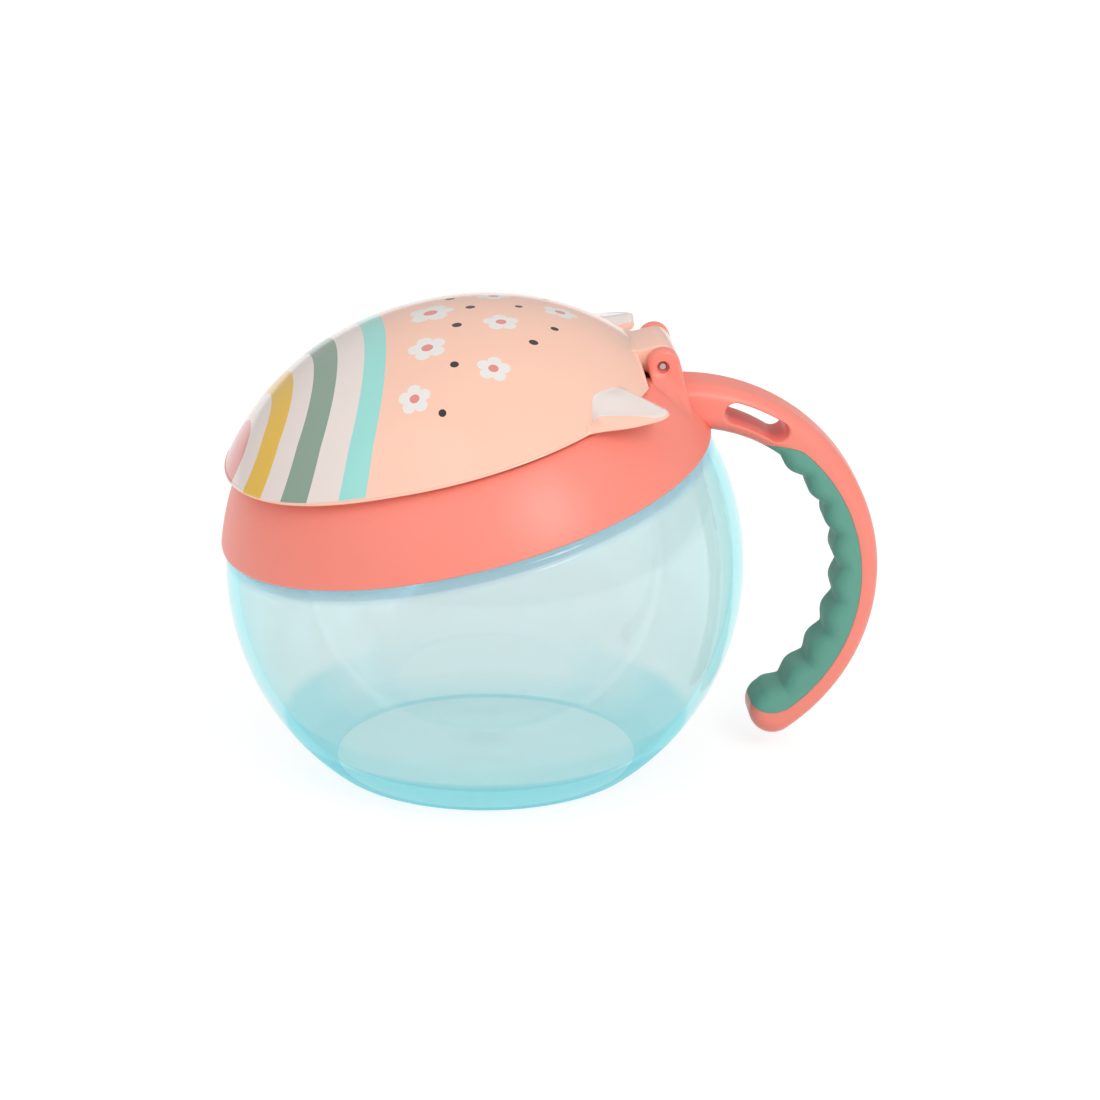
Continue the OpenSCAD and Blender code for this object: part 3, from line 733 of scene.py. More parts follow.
class CUP_OT_collar(bpy.types.Operator):
    """Build the screw-on collar with its lip, thread lugs and hinge posts"""

    bl_idname = "snackcup.collar"
    bl_label = "Collar"

    def execute(self, context):
        s = cup()
        s.skirt_r = s.neck_r + 1.9
        s.foot_h = 19.5
        shell = Shell(s)
        self.skin_and_deck(shell, s)
        self.lip(shell, s)
        thread_lugs(shell, s.skirt_r, -1.5, s.neck_h - 5.25)
        self.posts(shell, s)
        self.block(shell, s)
        make_piece("collar_shell", shell, "coral_plastic", "collar", "collar")
        return {"FINISHED"}

    def skin_and_deck(self, shell, s):
        """Outer skin, deck, bore and threaded skirt, turned about the mouth's axis."""
        low, under, thread_top, wall = 15.4, 27.8, 25.4, 1.8
        deck, skirt, bore = s.deck_h, s.skirt_r, s.neck_r + 0.4
        out_r, in_r = s.collar_r, s.collar_r - wall
        hollow_top = radius_at(in_r, skirt + wall)
        skin = [(radius_at(out_r, h), h) for h in np.linspace(low + 0.7, deck - 1.0, 40)]
        hollow = [(radius_at(in_r, h), h) for h in np.linspace(hollow_top - 1.2, low + 0.5, 14)]
        lower_edge = [
            (radius_at(in_r, low + 0.5), low + 0.5, 0),
            (radius_at(in_r, low), low, 0.4),
            (radius_at(out_r, low), low, 0.6),
            (*skin[0], 0),
        ]
        deck_and_skirt = [
            (*skin[-1], 0),
            (radius_at(out_r, deck), deck, 0.8),
            (s.lip_r, deck, 0.5),
            (s.lip_r - 2, deck, 0),
            (s.throat_r, deck, 0.5),
            (s.throat_r, under, 0.4),
            (bore + 0.5, under, 0.1),
            (bore + 0.5, under - 1.3, 0.1),
            (bore, under - 1.3, 0.2),
            (bore, thread_top, 0.2),
            (skirt, thread_top, 0.2),
            (skirt, low, 0.5),
            (skirt + wall, low, 0.5),
            (skirt + wall, hollow_top, 0.6),
            (*hollow[0], 0),
        ]
        corners = [rounded(line, 6, closed=False)[1:] for line in (lower_edge, deck_and_skirt)]
        rings = around_axis(np.vstack([corners[0], skin[1:], corners[1], hollow[1:-1]]), turn(360))
        # the deck dips under the lid's knuckle
        x, y, h = np.moveaxis(rings, -1, 0)
        reach = np.clip(3.55**2 - (x - s.pin_x) ** 2, 0, None)
        limit = s.pin_h - np.sqrt(reach)
        inside = (np.abs(y) < 7.5) & (reach > 0) & (h > limit) & (h > 26)
        rings[..., 2] = np.where(inside, limit, h)
        shell.rings(rings, loop=True)

    def lip(self, shell, s):
        """Lip round the opening, open at the hinge."""
        out_r, in_r, low, high = s.lip_r, s.lip_r - 2, s.deck_h - 1, s.deck_h + 2.4
        lip = rounded([(out_r, low, 0), (out_r, high, 0.7), (in_r, high, 0.7), (in_r, low, 0)], 6)
        gap = math.asin(6.5 / s.lip_r)
        sections = around_axis(lip, np.linspace(gap, 2 * math.pi - gap, 300)).transpose(1, 0, 2)
        shell.rings(sections, caps=(True, True))

    def flare(self, p, s, radius):
        """How far a post's side spreads, so that it runs out into the collar's skin."""
        low, high = np.zeros(len(p)), np.full(len(p), radius)
        for _ in range(24):
            middle = (low + high) / 2
            moved = p + np.column_stack([0 * middle, middle, 0 * middle])
            out = np.maximum(np.linalg.norm(moved, axis=-1) - s.collar_r, 0)
            up = np.maximum(moved[..., 2] - s.deck_h, 0)
            wider = drop(np.hypot(out, up), radius) > middle
            low, high = np.where(wider, middle, low), np.where(wider, high, middle)
        return low

    def posts(self, shell, s):
        """Two posts that hold the pin, each with a pocket that shows its end, and soft feet."""
        r, face, back, edge, pocket, deep = s.post_r - 0.35, 9.5, 6.5, 0.75, 1.15, 1.1
        foot, mid_x, mid_h = s.foot_h, s.pin_x + 0.3, s.pin_h + 0.1
        down, level = np.linspace(mid_h, foot, 81)[1:], np.linspace(-r, r, 22)[1:] + mid_x
        up = np.linspace(foot, mid_h, 81)[1:-1]
        outline = np.vstack(
            [
                arc(r, 0, 180, 49, (mid_x, mid_h)),
                np.column_stack([np.full(80, mid_x - r), down]),
                np.column_stack([level, np.full(21, foot)]),
                np.column_stack([np.full(79, mid_x + r), up]),
            ]
        )
        pin = np.array([s.pin_x, s.pin_h])
        toward = (outline - pin) / np.linalg.norm(outline - pin, axis=1)[:, None]
        hole, mouth = toward * pocket + pin, toward * (pocket + 0.08) + pin
        top = inset(outline, edge)
        rows = [(hole * 0 + pin, face - deep), (hole, face - deep), (hole, face - 0.08)]
        rows += [(mouth + (top - mouth) * t, face) for t in np.linspace(0, 1, 22)]
        rows += [(inset(outline, edge * (1 - n)), face - edge * (1 - c)) for n, c in quarter(6, 1)]
        rows += [(outline, y) for y in np.linspace(face - edge, back + 0.2, 5)[1:]]
        rows += [(inset(outline, 0.2), back), (outline * 0 + pin, back)]
        for side in (-1, 1):
            rings = []
            for ring, y in rows:
                p = across(ring, y)
                share = step_up(p[:, 1], back, face - edge)
                p[:, 1] = (p[:, 1] + self.flare(p, s, 2.6) * share) * side
                rings.append(p)
            shell.rings(rings)

    def block(self, shell, s):
        """The block between the posts, hollowed round the lid's knuckle."""
        hollow = arc(3.5, -18.5, -141, 24, (s.pin_x, s.pin_h))
        feet = [(s.pin_x - 2.9, s.foot_h), (s.pin_x + s.post_r, s.foot_h)]
        outline = spread(np.vstack([hollow, feet])[::-1], 0.5)
        plate(shell, outline, -7.4, 7.4, 0.01, upright)


class CUP_OT_pin(bpy.types.Operator):
    """Build the steel hinge pin with its chamfered ends"""

    bl_idname = "snackcup.pin"
    bl_label = "Hinge pin"

    def execute(self, context):
        s = cup()
        half, end_r, chamfer = 8.9, s.pin_r - 0.25, 0.22
        ends = [(0, half), (end_r, half), (s.pin_r, half - chamfer)]
        rows = [(r, -y) for r, y in ends] + ends[::-1]
        circle = arc(1, 0, 360, 49)[:-1]
        shell = Shell(s)
        shell.rings([across(circle * r + (s.pin_x, s.pin_h), y) for r, y in rows])
        make_piece("hinge_pin_rod", shell, "steel_pin", "collar", "hinge_pin")
        return {"FINISHED"}


# ---- lid ----------------------------------------------------------------------------------------


class Dome:
    """Heights of the lid's surfaces over (x, y) in the mouth's frame."""

    def __init__(self, s):
        self.s = s
        self.top_r, self.side_r, join = 58.4, 45.3, 19.4
        self.lean = math.asin(join / self.top_r)
        self.side_x = (self.top_r - self.side_r) * math.sin(self.lean)
        reach = s.lid_r - self.side_x
        self.side_h = s.lid_rim_h - math.sqrt(self.side_r**2 - reach**2) - 0.01
        self.top_h = self.side_h - (self.top_r - self.side_r) * math.cos(self.lean)

    def height(self, x, y, inset_by=0.0):
        rho = np.hypot(x - self.s.lid_mid, y)
        top, side = self.top_r - inset_by, self.side_r - inset_by
        upper = self.top_h + np.sqrt(np.maximum(top**2 - rho**2, 0))
        lower = self.side_h + np.sqrt(np.maximum(side**2 - (rho - self.side_x) ** 2, 0))
        return np.where(rho < top * math.sin(self.lean), upper, lower)

    def under(self, x, y):
        return self.height(x, y, self.s.lid_wall)

    def inner_rim(self):
        """Radius at which the dome's underside meets the rim's height."""
        reach = radius_at(self.side_r - self.s.lid_wall, self.s.lid_rim_h - self.side_h)
        return self.side_x + reach

    def past_ridge(self, x, y):
        """How far a place lies past an ear's ridge, towards the hinge."""
        return 0.80 * (x - 31.3) - 0.60 * (np.abs(y) - 21.5)

    def ear(self, x, y):
        """Face of an ear: it falls to the back and outwards, and drops off past its ends."""
        y = np.abs(y)
        face = 31.85 - 0.23 * (x - 31.6) - 0.185 * (y - 29)
        crown = 0.8 * np.exp(-(((y - 24.5) / 3.5) ** 2)) * (1 - 0.8 * step_up(x, 28, 34))
        face = face + crown - 0.3 * np.maximum(self.past_ridge(x, y), 0) ** 2
        return face - 0.9 * np.maximum(26.2 - x, 0) ** 2

    def outside(self, x, y):
        near = (np.abs(y) > 14) & (x > 18)
        ear = np.where(near, self.ear(x, y), -50)
        return blend_up(self.height(x, y), ear, 0.5 + 1.3 * step_up(np.abs(y), 26, 30))


def lid_outline(s):
    """Plan of the lid from its hinge side round by +Y, half of it."""
    cut, mid, ear_y, root_y = s.lid_cut, s.lid_mid, 32.41, 20.4
    meet = radius_at(s.lid_r, ear_y) + mid
    rim_y = radius_at(s.lid_r, cut - mid)
    root_x = radius_at(s.lid_r, root_y) + mid

    def angle(x, y):
        return math.degrees(math.atan2(y, x - mid))

    def rim(start, end, count):
        return [(x, y, 0) for x, y in arc(s.lid_r, start, end, count, (mid, 0))]

    corners = [(cut, 0, 0), (cut, rim_y, 0.8)]
    corners += rim(angle(cut, rim_y) + 1, angle(root_x, root_y), 12)
    corners += [(38.1, 25.7, 3.5), (38.75, ear_y, 2.6), (meet, ear_y, 4.0)]
    corners += rim(angle(meet, ear_y) + 0.6, 180, 160)
    line = rounded(corners, 24, closed=False)
    # fine steps round the ear, wider ones along the front
    split = np.argmin(np.abs(line[:, 0] - 20.0))
    fine = spread(line[:split], 0.33, closed=False)
    rest = spread(line[split - 1 :], 0.8, closed=False)
    return np.vstack([fine, rest[1:]])


class Rim:
    """The lid's whole outline, with the weights of its edge and the height of its underside.

    ear, cut and outer are 1 at the ears, at the hinge and on the outer side of the ears; soft is
    the edge's rounding, and bare the width that an ear's print leaves free.
    """

    def __init__(self, s, dome):
        self.dome = dome
        half = lid_outline(s)
        edge = np.vstack([half, half[-2:0:-1] * (1, -1)])
        x, y = edge[:, 0], np.abs(edge[:, 1])
        self.ear = step_up(x, 23.0, 25.5) * step_up(y, 20.5, 23.0)
        self.cut = step_up(15.9 - y, 0, 1.5) * step_up(x, 30, 36)
        self.outer = self.ear * step_up(y, 28.0, 31.5)
        self.soft = 0.35 + 0.3 * self.cut + 0.45 * self.ear + 1.5 * self.outer
        self.bare = 2.0 * self.outer * (1 - 0.85 * step_up(x, 32, 38))
        self.centre = np.array([s.lid_mid, 0.0])
        away = edge - self.centre
        self.far = np.linalg.norm(away, axis=1)
        self.unit = away / self.far[:, None]
        # the rim dips a little towards the front
        dip = step_up(-x, 10, 38)
        self.far = self.far + 0.35 * dip
        low = s.lid_rim_h - 0.8 * self.ear * step_up(x, 24, 33) - 0.75 * dip
        low = low - 0.9 * self.ear * step_up(dome.past_ridge(x, y), 0, 3)
        self.in_r = dome.inner_rim()
        self.low = np.where(self.far < self.in_r, np.maximum(low, dome.under(x, y)), low)
        self.rings, self.marks = [], []

    def at(self, distance):
        """Plan of the points at a distance from the lid's centre."""
        return self.centre + self.unit * np.reshape(distance, (-1, 1))

    def ring(self, distance, heights):
        """Adds a ring; its marks are above 0 on the printed face of an ear."""
        p = self.at(distance)
        self.rings.append(np.column_stack([p, heights]))
        x, y = p[:, 0], p[:, 1]
        inside = (
            self.dome.ear(x, y) - self.dome.height(x, y) + 0.15,
            2.3 - self.dome.past_ridge(x, y),
            np.abs(y) - 21.2,
            x - 25.0,
            self.far - distance - 0.15 - self.bare,
        )
        mark = np.maximum(np.minimum.reduce(inside), LOWEST_MARK)
        self.marks.append(np.where(self.ear > 0.01, mark, -1.0))


class CUP_OT_lid(bpy.types.Operator):
    """Build the printed dome lid with its two ears, inner ring and hinge knuckle"""

    bl_idname = "snackcup.lid"
    bl_label = "Lid"

    def execute(self, context):
        s = cup()
        dome = Dome(s)
        rim = Rim(s, dome)
        self.outer_face(rim, dome)
        self.edge(rim, dome)
        self.under_side(rim, dome, s)
        shell = Shell(s)
        shell.rings(rim.rings, marks=rim.marks)
        self.ring_under(shell, s, dome)
        self.knuckle(shell, s, dome)
        make_piece("printed_lid", shell, "printed_lid", "lid", "lid")
        return {"FINISHED"}

    def outer_face(self, rim, dome):
        start = rim.far - rim.soft
        for t in np.concatenate([np.linspace(0, 0.62, 26), np.linspace(0.62, 1, 52)[1:]]):
            rim.ring(start * t, dome.outside(*rim.at(start * t).T))

    def edge(self, rim, dome):
        """Soft edge, rounder on the outer side of the ears, and the wall below it."""
        start = rim.far - rim.soft
        top, bottom = dome.outside(*rim.at(start).T), rim.low + 0.15
        fall = np.where(rim.cut > 0.5, np.minimum(top - bottom, 0.7), top - bottom)
        straight, steps = 0.5 * rim.outer, 9
        for k, (n, c) in enumerate(quarter(steps, 1), 1):
            out = n * (1 - straight) + (k / steps) * straight
            down = (1 - c) * (1 - straight) + (k / steps) * straight
            rim.ring(start + rim.soft * out, top - fall * down)
        rim.ring(rim.far, top - fall + (bottom - top + fall) * 0.5)
        rim.ring(rim.far, bottom)
        rim.ring(rim.far - 0.15, rim.low)

    def under_side(self, rim, dome, s):
        """Clear of the collar from the rim in, and then up inside the dome."""
        inner = np.minimum(rim.far - 0.2, rim.in_r)
        clear_r = s.collar_r + 0.7
        for t in np.linspace(0, 1, 7)[1:]:
            distance = rim.far - 0.15 + (inner - rim.far + 0.15) * t
            p = rim.at(distance)
            clear = np.sqrt(clear_r**2 - (p**2).sum(1))
            under = np.maximum(rim.low, np.minimum(clear, s.lid_rim_h))
            rim.ring(distance, np.where(rim.far < rim.in_r, dome.under(*p.T), under))
        for t in np.linspace(1, 0, 40)[1:]:
            rim.ring(inner * t, dome.under(*rim.at(inner * t).T))

    def ring_under(self, shell, s, dome):
        """Ring that closes round the collar's lip, open at the hinge."""
        r, wall, low = s.lip_r + 0.4, 1.6, s.deck_h + 0.4
        stop = math.acos((s.lid_cut - 3.2) / (r + wall / 2))
        sections = []
        for a in np.linspace(stop, 2 * math.pi - stop, 240):
            x, y = math.cos(a), math.sin(a)
            tops = [float(dome.height(q * x, q * y, s.lid_wall - 0.5)) for q in (r, r + wall)]
            corners = [(r, low, 0.4), (r + wall, low, 0.5), (r + wall, tops[1], 0), (r, tops[0], 0)]
            sections.append(standing(rounded(corners, 4), a))
        shell.rings(sections, caps=(True, True), marks=NO_PRINT)

    def knuckle(self, shell, s, dome):
        """Barrel on the pin and the arm that carries it."""
        r, half = 3.2, 6.2
        x0, crest = s.lid_cut - 3.5, s.pin_h + r
        top = float(dome.height(x0, half)) - 0.15
        slope = float(dome.height(x0 + 0.1, half) - dome.height(x0 - 0.1, half)) / 0.2
        turn_x = x0 + (crest - top) / slope
        arm = [(x0, top - 1.7, 0), (x0, top, 0), (turn_x, crest, 5), (s.pin_x, crest, 0)]
        arm = rounded(arm, 16, closed=False)
        barrel = arc(r, 90, -128, 60, (s.pin_x, s.pin_h))[1:]
        under = [(s.lid_cut - 0.2, s.pin_h - 0.5)]
        outline = spread(np.vstack([arm, barrel, under]), 0.3)[::-1]
        plate(shell, outline, -half, half, 0.5, upright, 4, marks=-1.0)


# ---- handle -------------------------------------------------------------------------------------


class Handle:
    """The handle's side view, round the centre of its inner curve, and its half width."""

    ROOT = 92.5  # where it ends inside the collar, in degrees
    RIDGE_PITCH, RIDGES, RIDGES_MID = 13.0, 8, 1.2
    HEEL_FROM = 50.8

    def __init__(self, s):
        self.s = s
        self.outer = np.array([35.5, -2.8])
        self.palm = np.array([37.1, -2.9])
        self.seam = np.array([37.5, -3.2])
        self.palm_r = s.handle_r - 8.8
        self.seam_r = s.handle_r - 5.35
        self.end_r, self.heel_r = 4.5, 6.0
        self.end = self.outer + self.way(56.4) * (s.handle_r - self.end_r)
        self.heel = self.seam + self.way(52.8) * (self.seam_r - self.heel_r)
        self.end_at, self.end_far = self.polar(self.end)
        tangent = self.seam + self.seam_r * (self.heel - self.seam) / (self.seam_r - self.heel_r)
        self.heel_at = self.polar(tangent)[0]
        self.stop = self.end_at - math.degrees(math.asin(self.end_r / self.end_far))
        self.half = s.handle_w / 2
        self.edge = 3.1

    def way(self, below):
        """Direction at an angle below the level, in degrees."""
        a = math.radians(below)
        return np.array([math.cos(a), -math.sin(a)])

    def polar(self, p):
        d = np.asarray(p) - self.palm
        return math.degrees(math.atan2(d[1], d[0])), float(np.hypot(*d))

    def reach(self, centre, radius, a, side):
        """Distance from the palm's centre, at angle a, to the near or far side of a circle."""
        d = centre - self.palm
        along = d[0] * np.cos(a) + d[1] * np.sin(a)
        sideways = d[0] * np.sin(a) - d[1] * np.cos(a)
        return along + side * np.sqrt(np.maximum(radius**2 - sideways**2, 0))

    def outer_edge(self, a):
        end = self.reach(self.end, self.end_r, a, 1)
        main = self.reach(self.outer, self.s.handle_r, a, 1)
        return np.where(np.degrees(a) < self.end_at + 0.6, end, main)

    def palm_edge(self, a, ridged=True):
        deg = np.degrees(a)
        end = self.reach(self.end, self.end_r, a, -1)
        t = step_up(-deg, self.HEEL_FROM, -self.end_at)
        main = self.palm_r + (self.end_far - self.end_r - self.palm_r) * t
        if ridged:
            k = (deg - self.RIDGES_MID) / self.RIDGE_PITCH + (self.RIDGES - 1) / 2
            wave = np.abs(np.cos(np.pi * (k - np.round(k)))) ** 1.35
            on = (k > -0.5) & (k < self.RIDGES - 0.5)
            main = np.where(on, main - self.s.ridge_up * wave, main)
            heel = np.clip((-deg - self.HEEL_FROM) / (-self.end_at - self.HEEL_FROM), 0, 1)
            main = main - 0.4 * np.sin(np.pi * heel) * (deg < -self.HEEL_FROM)
        return np.where(deg < self.end_at, end, main)

    def seam_edge(self, a):
        deg = np.degrees(a)
        seam = self.reach(self.seam, self.seam_r, a, 1)
        heel = self.reach(self.heel, self.heel_r, a, 1)
        # the upper end leaves the main curve and runs level to the palm
        seam = seam - 0.105 * np.maximum(deg - 48, 0) ** 1.35
        return np.where(deg < self.heel_at, heel, seam)

    def depth(self, rho, a, ridged=True):
        """Half width at a point of the side view."""
        x, y = rho * np.cos(a) + self.palm[0], rho * np.sin(a) + self.palm[1]
        from_out = self.s.handle_r - np.hypot(x - self.outer[0], y - self.outer[1])
        from_in = rho - self.palm_edge(a, ridged)
        from_end = self.end_r - np.hypot(x - self.end[0], y - self.end[1])
        main = self.half - drop(from_out, self.edge) - drop(from_in, self.edge)
        end = self.half - drop(from_end, self.edge)
        w = step_up(np.degrees(a), self.end_at - 1.0, self.end_at + 1.0)
        return main * w + end * (1 - w)

    def section(self, a, low, high, low_seam, high_seam, ridged):
        """Ring round a cut of the handle at angle a, out of its plane at both sides."""
        span, nick = max(high - low, 0.0), 0.16
        rho = low + span * (0.5 - 0.5 * np.cos(np.pi * np.linspace(0, 1, 29)))
        y = self.depth(rho, np.full_like(rho, a), ridged)
        if low_seam:
            y = y - drop(rho - low, nick) * (span > 4 * nick)
        if high_seam:
            y = y - drop(high - rho, nick) * (span > 4 * nick)
        cross = np.linspace(1, -1, 7)[1:-1]
        rho = np.concatenate([rho, np.full(5, high), rho[::-1], np.full(5, low)])
        y = np.concatenate([y, y[-1] * cross, -y[::-1], -y[0] * cross])
        x, z = self.palm[0] + rho * math.cos(a), self.palm[1] + rho * math.sin(a)
        return np.column_stack([x, y, z])

    def grip_span(self):
        """Angles between which the seam lies outside the palm."""
        fine = np.linspace(self.stop, 75, 4000)
        gap = self.seam_edge(np.radians(fine)) - self.palm_edge(np.radians(fine), False)
        held = fine[gap > 0]
        return held.min(), held.max()


class CUP_OT_handle(bpy.types.Operator):
    """Build the handle with its hanging slot"""

    bl_idname = "snackcup.handle"
    bl_label = "Handle"

    def execute(self, context):
        s = cup()
        hd = Handle(s)
        grip_low, grip_top = hd.grip_span()
        # full section above the grip, and the strip outside the seam beside it
        tail = hd.stop + (hd.end_at - hd.stop) * (1 - np.cos(np.linspace(0, QUARTER, 30)))
        angles = np.concatenate([tail, np.linspace(hd.end_at, hd.ROOT, 330)[1:]])
        sections = []
        for deg in np.unique(np.concatenate([angles, [grip_low, grip_top]])):
            a = math.radians(deg)
            high, low = float(hd.outer_edge(a)), float(hd.palm_edge(a, False))
            beside = grip_low < deg < grip_top
            if beside:
                low = max(low, float(hd.seam_edge(a)))
            sections.append(hd.section(a, min(low, high), high, beside, False, False))
        shell = Shell(s)
        shell.rings(sections, caps=(False, True), lean=0.0)
        handle = make_piece("handle_body", shell, "coral_plastic", "collar", "handle_frame")
        self.cut_slot(handle, s, hd)
        return {"FINISHED"}

    def slot_line(self, s, hd, grow):
        """Outline of the slot, grown at its soft edges."""
        half_t, start, end = 1.95, 57.0, 72.0
        mid, t, c = s.handle_r - 2.1 - half_t, half_t + grow, hd.outer
        first, last = c + mid * hd.way(-start), c + mid * hd.way(-end)
        return np.vstack(
            [
                arc(mid + t, start, end, 30, c),
                arc(t, end, end + 180, 24, last)[1:],
                arc(mid - t, end, start, 30, c)[1:],
                arc(t, start + 180, start + 360, 24, first)[1:-1],
            ]
        )

    def cut_slot(self, handle, s, hd):
        """Cuts the hanging slot, with soft edges, through the handle."""
        edge, clear = 0.8, 8.0
        rows = [(clear, edge)]
        rows += [(hd.half - edge + edge * c, edge * (1 - n)) for n, c in quarter(7)]
        rows += [(0, 0)] + [(-y, grow) for y, grow in rows[::-1]]
        shell = Shell(s)
        rings = [across(self.slot_line(s, hd, grow), y) for y, grow in rows]
        shell.rings(rings, caps=(True, True), lean=0.0)
        cutter = make_piece("slot_cutter", shell, "coral_plastic", "collar")
        tool = handle.modifiers.new("slot", "BOOLEAN")
        tool.operation, tool.solver, tool.object = "DIFFERENCE", "EXACT", cutter
        bpy.context.view_layer.update()
        ready = handle.evaluated_get(bpy.context.evaluated_depsgraph_get())
        mesh = bpy.data.meshes.new_from_object(ready)
        handle.modifiers.remove(tool)
        old = handle.data
        handle.data = mesh
        mesh.name = old.name
        bpy.data.meshes.remove(old)
        bpy.data.objects.remove(cutter)


class CUP_OT_grip(bpy.types.Operator):
    """Build the soft grip, from the seam in to the ridged palm"""

    bl_idname = "snackcup.grip"
    bl_label = "Soft grip"

    def execute(self, context):
        s = cup()
        hd = Handle(s)
        sections = []
        for deg in np.linspace(*hd.grip_span(), 560):
            a = math.radians(deg)
            high = float(hd.seam_edge(a))
            low = min(float(hd.palm_edge(a)), high)
            sections.append(hd.section(a, low, high, False, True, True))
        shell = Shell(s)
        shell.rings(sections, caps=(True, True), lean=0.0)
        make_piece("ridged_grip", shell, "soft_grip", "collar", "handle_grip")
        return {"FINISHED"}


# ---- soft insert --------------------------------------------------------------------------------

INSERT_LOW, INSERT_HIGH = 26.55, 27.75


class CUP_OT_insert(bpy.types.Operator):
    """Build the soft insert's ring, with its six-sided opening and raised lip"""

    bl_idname = "snackcup.insert"
    bl_label = "Soft insert"

    def execute(self, context):
        s = cup()
        low, high, up = INSERT_LOW, INSERT_HIGH, 28.4
        rim, lip, flat = s.neck_r + 0.8, s.throat_r - 0.24, s.flap_fold + 0.5
        angles = turn(360)
        from_side = (np.degrees(angles) + 30) % 60 - 30
        hexagon = flat / np.cos(np.radians(from_side))
        hexagon = np.minimum(hexagon, flat / math.cos(math.radians(30)) - 0.4)
        rows = [
            (hexagon, low + 0.2),
            (hexagon + 0.2, low),
            (rim - 0.2, low),
            (rim, low + 0.2),
            (rim, high - 0.2),
            (rim - 0.2, high),
            (lip + 0.3, high),
            (lip, high + 0.3),
            (lip, up - 0.25),
            (lip - 0.25, up),
            (lip - 0.8, up),
            (lip - 1.0, up - 0.3),
            (lip - 1.0, high + 0.1),
            (hexagon + 0.3, high),
            (hexagon, high - 0.2),
        ]
        rings = []
        for r, h in rows:
            r = np.broadcast_to(r, angles.shape)
            rings.append(np.column_stack([r * np.cos(angles), r * np.sin(angles), 0 * r + h]))
        shell = Shell(s)
        shell.rings(rings, loop=True)
        make_piece("insert_ring", shell, "soft_insert", "insert", "flap_insert")
        return {"FINISHED"}


class CUP_OT_flaps(bpy.types.Operator):
    """Build the six flaps of the insert, each with a bead along its fold"""

    bl_idname = "snackcup.flaps"
    bl_label = "Flaps"

    def execute(self, context):
        s = cup()
        mid, half_t, bead_r = (INSERT_LOW + INSERT_HIGH) / 2, 0.38, 0.4
        half = s.flap_fold * math.tan(math.radians(30)) - 0.35
        corners = [(0.8, 0, 0.35), (s.flap_fold, -half, 0.5), (s.flap_fold, half, 0.5)]
        outline = spread(rounded(corners, 5), 0.4)
        circle = np.column_stack([np.cos(turn(20)), np.sin(turn(20))])
        ring = circle * bead_r + (s.flap_fold, mid)
        bead = [across(ring, y) for y in np.linspace(-half, half, 5)]
        for number in range(1, 7):
            a = math.radians(60 * number)

            def place(p, a=a):
                x = p[:, 0] * math.cos(a) - p[:, 1] * math.sin(a)
                y = p[:, 0] * math.sin(a) + p[:, 1] * math.cos(a)
                return np.column_stack([x, y, p[:, 2]])

            shell = Shell(s)
            plate(shell, outline, mid - half_t, mid + half_t, 0.2, place, 3)
            shell.rings([place(p) for p in bead], caps=(True, True))
            node = f"flap_{number}"
            make_piece(f"soft_{node}", shell, "soft_insert", node, node)
        return {"FINISHED"}


# ---- stage --------------------------------------------------------------------------------------

# Name, place, size and power of each lamp, in metres and watts
LAMPS = (
    ("key_light", (0.58, -1.08, 0.96), 0.7, 7.2),
    ("fill_light", (-0.70, -0.60, 1.20), 1.4, 2.0),
)


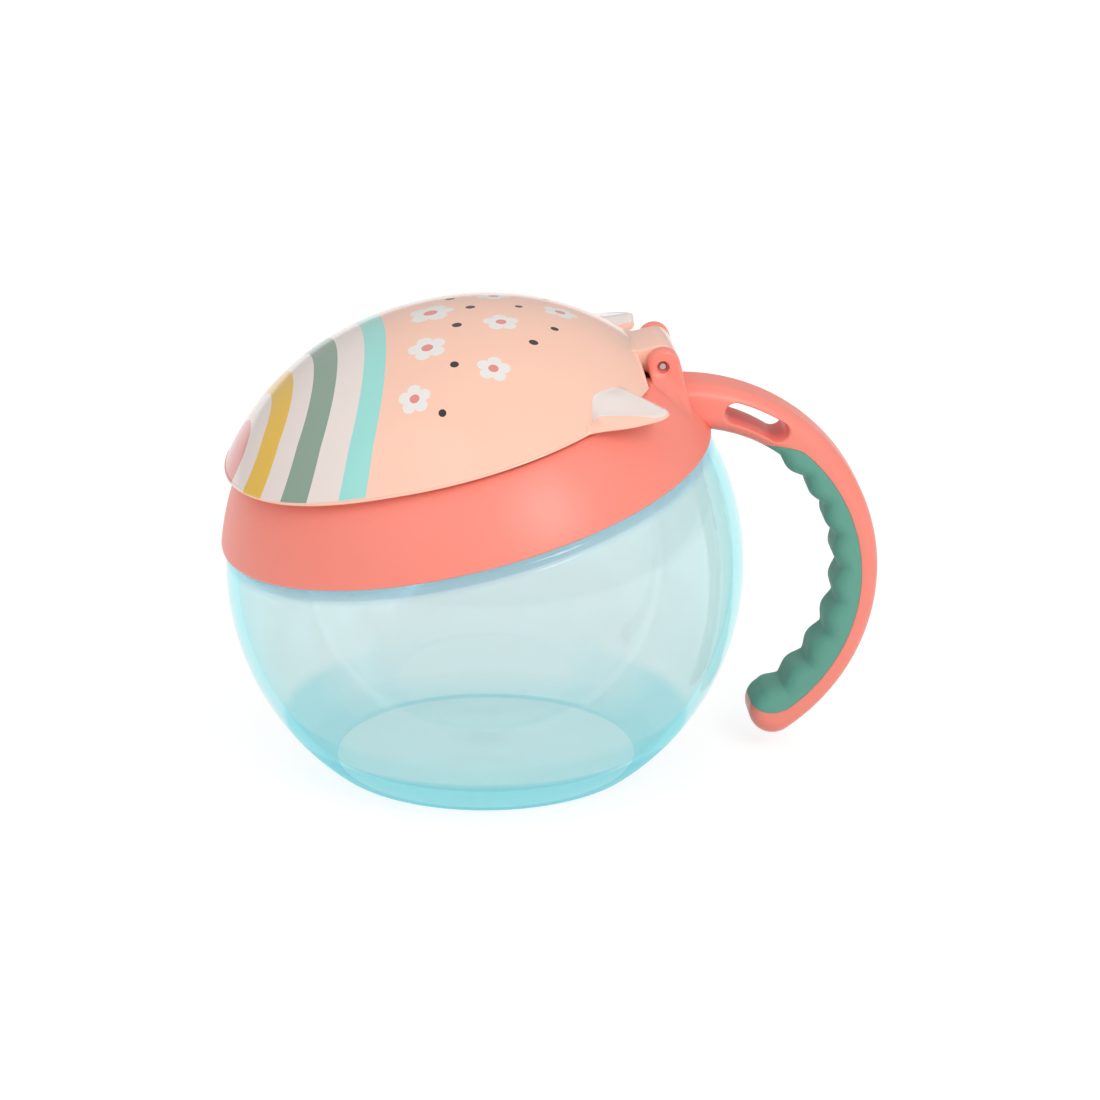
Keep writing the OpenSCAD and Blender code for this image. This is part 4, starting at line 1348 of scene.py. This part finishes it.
class CUP_OT_stage(bpy.types.Operator):
    """Set the floor, the soft studio light and the camera"""

    bl_idname = "snackcup.stage"
    bl_label = "Floor, light and camera"

    def execute(self, context):
        scene = context.scene
        self.floor(scene)
        scene.world = self.studio()
        for lamp in LAMPS:
            self.lamp(scene, *lamp)
        self.camera(scene)
        scene.view_settings.view_transform = "Standard"
        return {"FINISHED"}

    def floor(self, scene):
        """White floor, a tenth of a millimetre under the bowl."""
        mesh = bpy.data.meshes.new("floor")
        half, z = 6.0, -0.0001
        corners = [(-half, -half, z), (half, -half, z), (half, half, z), (-half, half, z)]
        mesh.from_pydata(corners, [], [(0, 1, 2, 3)])
        floor = bpy.data.objects.new("floor", mesh)
        scene.collection.objects.link(floor)
        g = new_material("floor_white")
        path = g.add("ShaderNodeLightPath").outputs
        seen = g.math("MAXIMUM", path["Is Camera Ray"], path["Is Glossy Ray"])
        seen = g.math("MAXIMUM", seen, path["Is Transmission Ray"])
        white = {
            "Base Color": g.mix(seen, (0.93, 0.93, 0.93), (0.33, 0.33, 0.33)),
            "Roughness": 0.9,
            "Specular IOR Level": 0.0,
            "Emission Color": (1, 1, 1, 1),
            "Emission Strength": g.math("MULTIPLY", seen, 0.79),
        }
        mesh.materials.append(g.finish(g.principled(white)))

    def studio(self):
        """White all round to the eye; its light falls off gently from overhead to the horizon."""
        g = Graph(bpy.data.worlds.new("studio"))
        path = g.add("ShaderNodeLightPath").outputs
        seen = g.math("MAXIMUM", path["Is Camera Ray"], path["Is Transmission Ray"])
        way = g.add("ShaderNodeTexCoord").outputs["Generated"]
        level = g.vector("DOT_PRODUCT", way, (-0.15, -0.30, 0.94))
        span = {"Value": level, "From Min": -0.3, "From Max": 1.0, "To Min": 0.46, "To Max": 0.76}
        strength = g.add("ShaderNodeMapRange", span, interpolation_type="SMOOTHSTEP").outputs[0]
        white = (1, 1, 1, 1)
        light = g.add("ShaderNodeBackground", {"Color": white, "Strength": strength}).outputs[0]
        plain = g.add("ShaderNodeBackground", {"Color": white, "Strength": 1.0}).outputs[0]
        return g.finish(g.blend(seen, light, plain))

    def lamp(self, scene, name, at, size, power):
        lamp = bpy.data.lights.new(name, "AREA")
        lamp.shape, lamp.size, lamp.energy = "DISK", size, power
        obj = bpy.data.objects.new(name, lamp)
        scene.collection.objects.link(obj)
        obj.location = at
        look = Vector((0.0, 0.0, 0.04)) - Vector(at)
        obj.rotation_euler = look.to_track_quat("-Z", "Y").to_euler()

    def camera(self, scene):
        """Camera at the photograph's angle, a metre from the point that it looks at."""
        azimuth, elevation, distance = math.radians(-5.45), math.radians(19.75), 1.0
        aim = Vector((0.01208, 0.0, 0.03974))
        level = math.cos(elevation)
        x, y, z = math.sin(azimuth) * level, -math.cos(azimuth) * level, math.sin(elevation)
        back = Vector((x, y, z))
        data = bpy.data.cameras.new("camera")
        data.sensor_width, data.lens = 36, 176.27
        data.clip_start, data.clip_end = 0.05, 30
        camera = bpy.data.objects.new("camera", data)
        camera.location = aim + back * distance
        camera.rotation_euler = (-back).to_track_quat("-Z", "Y").to_euler()
        scene.collection.objects.link(camera)
        scene.camera = camera


# ---- panel and run ------------------------------------------------------------------------------

OPERATORS = (
    CUP_OT_stage,
    CUP_OT_bowl,
    CUP_OT_collar,
    CUP_OT_pin,
    CUP_OT_lid,
    CUP_OT_handle,
    CUP_OT_grip,
    CUP_OT_insert,
    CUP_OT_flaps,
)


class CUP_PT_pieces(bpy.types.Panel):
    """Pieces of the snack container"""

    bl_label = "Snack container"
    bl_idname = "CUP_PT_pieces"
    bl_space_type = "VIEW_3D"
    bl_region_type = "UI"
    bl_category = "Snack cup"

    def draw(self, context):
        for operator in OPERATORS:
            self.layout.operator(operator.bl_idname)
        for group in (context.scene.cup_sizes, context.scene.cup_colours):
            for name in group.__annotations__:
                self.layout.prop(group, name)


CLASSES = (CupSizes, CupColours, *OPERATORS, CUP_PT_pieces)


def register():
    for cls in CLASSES:
        bpy.utils.register_class(cls)
    bpy.types.Scene.cup_sizes = PointerProperty(type=CupSizes)
    bpy.types.Scene.cup_colours = PointerProperty(type=CupColours)


def unregister():
    del bpy.types.Scene.cup_colours
    del bpy.types.Scene.cup_sizes
    for cls in reversed(CLASSES):
        bpy.utils.unregister_class(cls)


def main():
    register()
    for operator in OPERATORS:
        group, name = operator.bl_idname.split(".")
        getattr(getattr(bpy.ops, group), name)()
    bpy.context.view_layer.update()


if __name__ == "__main__":
    main()
